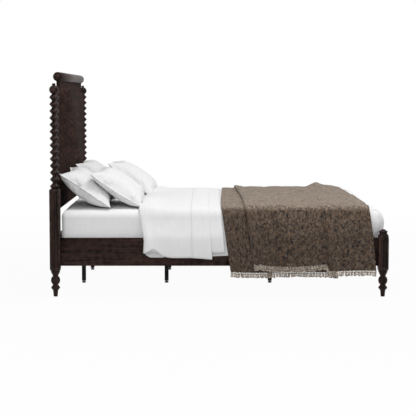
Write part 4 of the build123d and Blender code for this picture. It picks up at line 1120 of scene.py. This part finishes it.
fringe_yarn.use_nodes = True
fringe_tree = fringe_yarn.node_tree
fringe_shader = fringe_tree.nodes["Principled BSDF"]
fringe_place = fringe_tree.nodes.new("ShaderNodeTexCoord")
fringe_tufts = noise_on(fringe_tree, fringe_place.outputs["Object"], 160.0, detail=3.0)
yarn_colour = shades(fringe_tree, fringe_tufts,
                     [(0.34, (0.07, 0.05, 0.04)), (0.50, (0.38, 0.31, 0.25)), (0.64, (0.92, 0.80, 0.68))])
fringe_tree.links.new(yarn_colour, fringe_shader.inputs["Base Color"])
fringe_shader.inputs["Roughness"].default_value = 0.9
fringe_shader.inputs["Specular IOR Level"].default_value = 0.15
fringe_shader.inputs["Sheen Weight"].default_value = 0.3
fringe = add_piece("wool_fringe", fringe_mesh, fringe_yarn, "bedding")
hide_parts("throw_fringe")


# Pillows
# Four soft pillows in white cases. Each is two squares of cloth sewn round their edge and filled,
# leaning back with its lower edge sunk a little into the mattress.
pillow_lean = math.radians(34.5)
cad_pillow_width = 0.392
case_length = 0.740
case_width = 0.452
case_gauge = 0.006
piping = 0.007
panel_gap = 0.0015
front_pillow_step = 0.195
pillow_sink = 0.008


def pipe_seam(mesh, seam):
    """Draws the seam's narrow faces out into a thin stiff edge round the filled pillow."""
    net = bmesh.new()
    net.from_mesh(mesh)
    net.faces.ensure_lookup_table()
    drawn = bmesh.ops.extrude_face_region(net, geom=[net.faces[index] for index in seam])["geom"]
    for vert in drawn:
        if isinstance(vert, bmesh.types.BMVert):
            beside = [edge.other_vert(vert).co.z for edge in vert.link_edges]
            middle = sum(beside, 0.0) / len(beside)
            if abs(vert.co.x) / case_length > abs(vert.co.y) / case_width:
                away = Vector((math.copysign(1.0, vert.co.x), 0.15 * math.copysign(1.0, vert.co.y), 0.0))
            else:
                away = Vector((0.15 * math.copysign(1.0, vert.co.x), math.copysign(1.0, vert.co.y), 0.0))
            vert.co += away * piping
            vert.co.z = 0.6 * vert.co.z + 0.4 * middle
    net.to_mesh(mesh)
    net.free()
    return mesh


def sewn_pillow(name, pressure, frames, seed):
    """The net of a filled pillow, lying flat with its long side along X and its face up."""
    net = bmesh.new()
    bmesh.ops.create_cube(net, size=1.0)
    bmesh.ops.scale(net, vec=(case_length, case_width, case_gauge), verts=net.verts)
    longs = [edge for edge in net.edges if abs(edge.verts[0].co.x - edge.verts[1].co.x) > 0.1]
    bmesh.ops.subdivide_edges(net, edges=longs, cuts=61, use_grid_fill=True)
    widths = [edge for edge in net.edges if abs(edge.verts[0].co.y - edge.verts[1].co.y) > 0.1]
    bmesh.ops.subdivide_edges(net, edges=widths, cuts=39, use_grid_fill=True)
    net.normal_update()
    seam = [face.index for face in net.faces if abs(face.normal.z) < 0.5]
    random.seed(seed)
    for vert in net.verts:
        vert.co.z += random.uniform(-0.0012, 0.0012)
    mesh = bpy.data.meshes.new(name)
    net.to_mesh(mesh)
    net.free()
    puffed = bpy.data.objects.new(name, mesh)
    bpy.context.scene.collection.objects.link(puffed)
    cloth = puffed.modifiers.new("cloth", "CLOTH")
    cloth.settings.quality = 5
    cloth.settings.mass = 0.25
    cloth.settings.tension_stiffness = 40.0
    cloth.settings.compression_stiffness = 40.0
    cloth.settings.shear_stiffness = 12.0
    cloth.settings.bending_stiffness = 0.30
    cloth.settings.use_pressure = True
    cloth.settings.uniform_pressure_force = pressure
    cloth.settings.effector_weights.gravity = 0.0
    cloth.collision_settings.use_collision = False
    scene = bpy.context.scene
    for frame_number in range(1, frames + 1):
        scene.frame_set(frame_number)
    settled = puffed.evaluated_get(bpy.context.evaluated_depsgraph_get())
    points = read_points(settled.data)
    bpy.data.objects.remove(puffed)
    mesh.vertices.foreach_set("co", points.ravel())
    scene.frame_set(1)
    return pipe_seam(mesh, seam)


def lean_pillow(name, node, mesh, pillow_width, crowns, shift, seam_bow, twist, seed):
    """Shapes the filled net, leans it where its node of the frame lies, and finishes the piece."""
    low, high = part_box(node)
    points = read_points(mesh)
    points -= (points.max(axis=0) + points.min(axis=0)) / 2
    full = np.abs(points[:, 2]).max()
    length = high.y - low.y
    ratio = length / (points[:, 0].max() - points[:, 0].min())
    width_ratio = pillow_width / (points[:, 1].max() - points[:, 1].min())
    points[:, 0] *= ratio
    points[:, 1] *= width_ratio
    end = np.clip(points[:, 0] / (length / 2), -1.0, 1.0)
    edge = np.clip(points[:, 1] / (pillow_width / 2), -1.0, 1.0)
    inside = np.clip(np.abs(points[:, 2]) / full, 0.0, 1.0)
    rear = crowns[1] * (0.82 + 0.18 * end ** 2)
    points[:, 2] *= np.where(points[:, 2] > 0.0, crowns[0], rear) / full
    points[:, 2] -= seam_bow * (1.0 - edge ** 2) * np.abs(end) ** 5
    points[:, 2] += twist * end * edge
    wrinkle = 0.0075 * ruffle(points * (0.6, 1.0, 0.3), 0.13, seed)
    wrinkle += 0.0035 * ruffle(points * (0.4, 1.0, 0.3), 0.045, seed)
    points[:, 2] += wrinkle * soft_step(inside, 0.08, 0.5)
    points[:, 1] += 0.010 * ruffle(points * (1.0, 0.0, 0.0), 0.25, seed + 4.0)
    cosine = math.cos(pillow_lean)
    sine = math.sin(pillow_lean)
    placed = np.empty_like(points)
    placed[:, 0] = -points[:, 1] * cosine + points[:, 2] * sine
    placed[:, 1] = points[:, 0]
    placed[:, 2] = points[:, 1] * sine + points[:, 2] * cosine
    centre = pillow_centres[node]
    placed[:, 0] += centre[0] + shift[0]
    placed[:, 1] += (low.y + high.y) / 2
    placed[:, 2] += centre[1] + shift[1]
    floor = top_height(placed[:, 1]) + 0.0015
    placed[:, 2] = np.where(placed[:, 2] < floor + 0.02,
                            floor + 0.02 * np.exp((placed[:, 2] - floor - 0.02) / 0.02), placed[:, 2])
    placed[:, 0] = np.maximum(placed[:, 0], low.x + 0.001)
    mesh.vertices.foreach_set("co", placed.ravel())
    piece = add_piece(name, mesh, pillow_cotton, "bedding")
    smooth = piece.modifiers.new("smooth", "SUBSURF")
    smooth.levels = 1
    smooth.render_levels = 1
    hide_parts(node)
    return piece


panel_face_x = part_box("headboard_panel")[1].x
back_centre_x = panel_face_x + panel_gap + math.cos(pillow_lean) * cad_pillow_width / 2
centre_z = mattress_high.z + math.sin(pillow_lean) * cad_pillow_width / 2 - pillow_sink
back_centre = (back_centre_x, centre_z)
front_centre = (back_centre_x + front_pillow_step, centre_z)
pillow_centres = {"pillow_back_left": back_centre, "pillow_back_right": back_centre,
                  "pillow_front_left": front_centre, "pillow_front_right": front_centre}
pillow_cotton = white_cotton("pillow_cotton", (0.81, 0.81, 0.812), 900.0, False, 0.006)
lean_pillow("back_pillow_near", "pillow_back_left", sewn_pillow("back_pillow_near", 2.2, 17, 5),
            0.396, (0.078, 0.080), (0.012, 0.008), 0.0, 0.004, 51.0)
lean_pillow("back_pillow_far", "pillow_back_right", sewn_pillow("back_pillow_far", 2.0, 17, 9),
            0.412, (0.078, 0.070), (0.0, 0.0), 0.004, -0.005, 57.0)
lean_pillow("front_pillow_near", "pillow_front_left", sewn_pillow("front_pillow_near", 2.0, 18, 14),
            0.404, (0.078, 0.060), (0.018, 0.008), 0.020, 0.006, 63.0)
lean_pillow("front_pillow_far", "pillow_front_right", sewn_pillow("front_pillow_far", 2.3, 18, 23),
            0.420, (0.086, 0.056), (0.044, -0.002), 0.006, -0.012, 69.0)
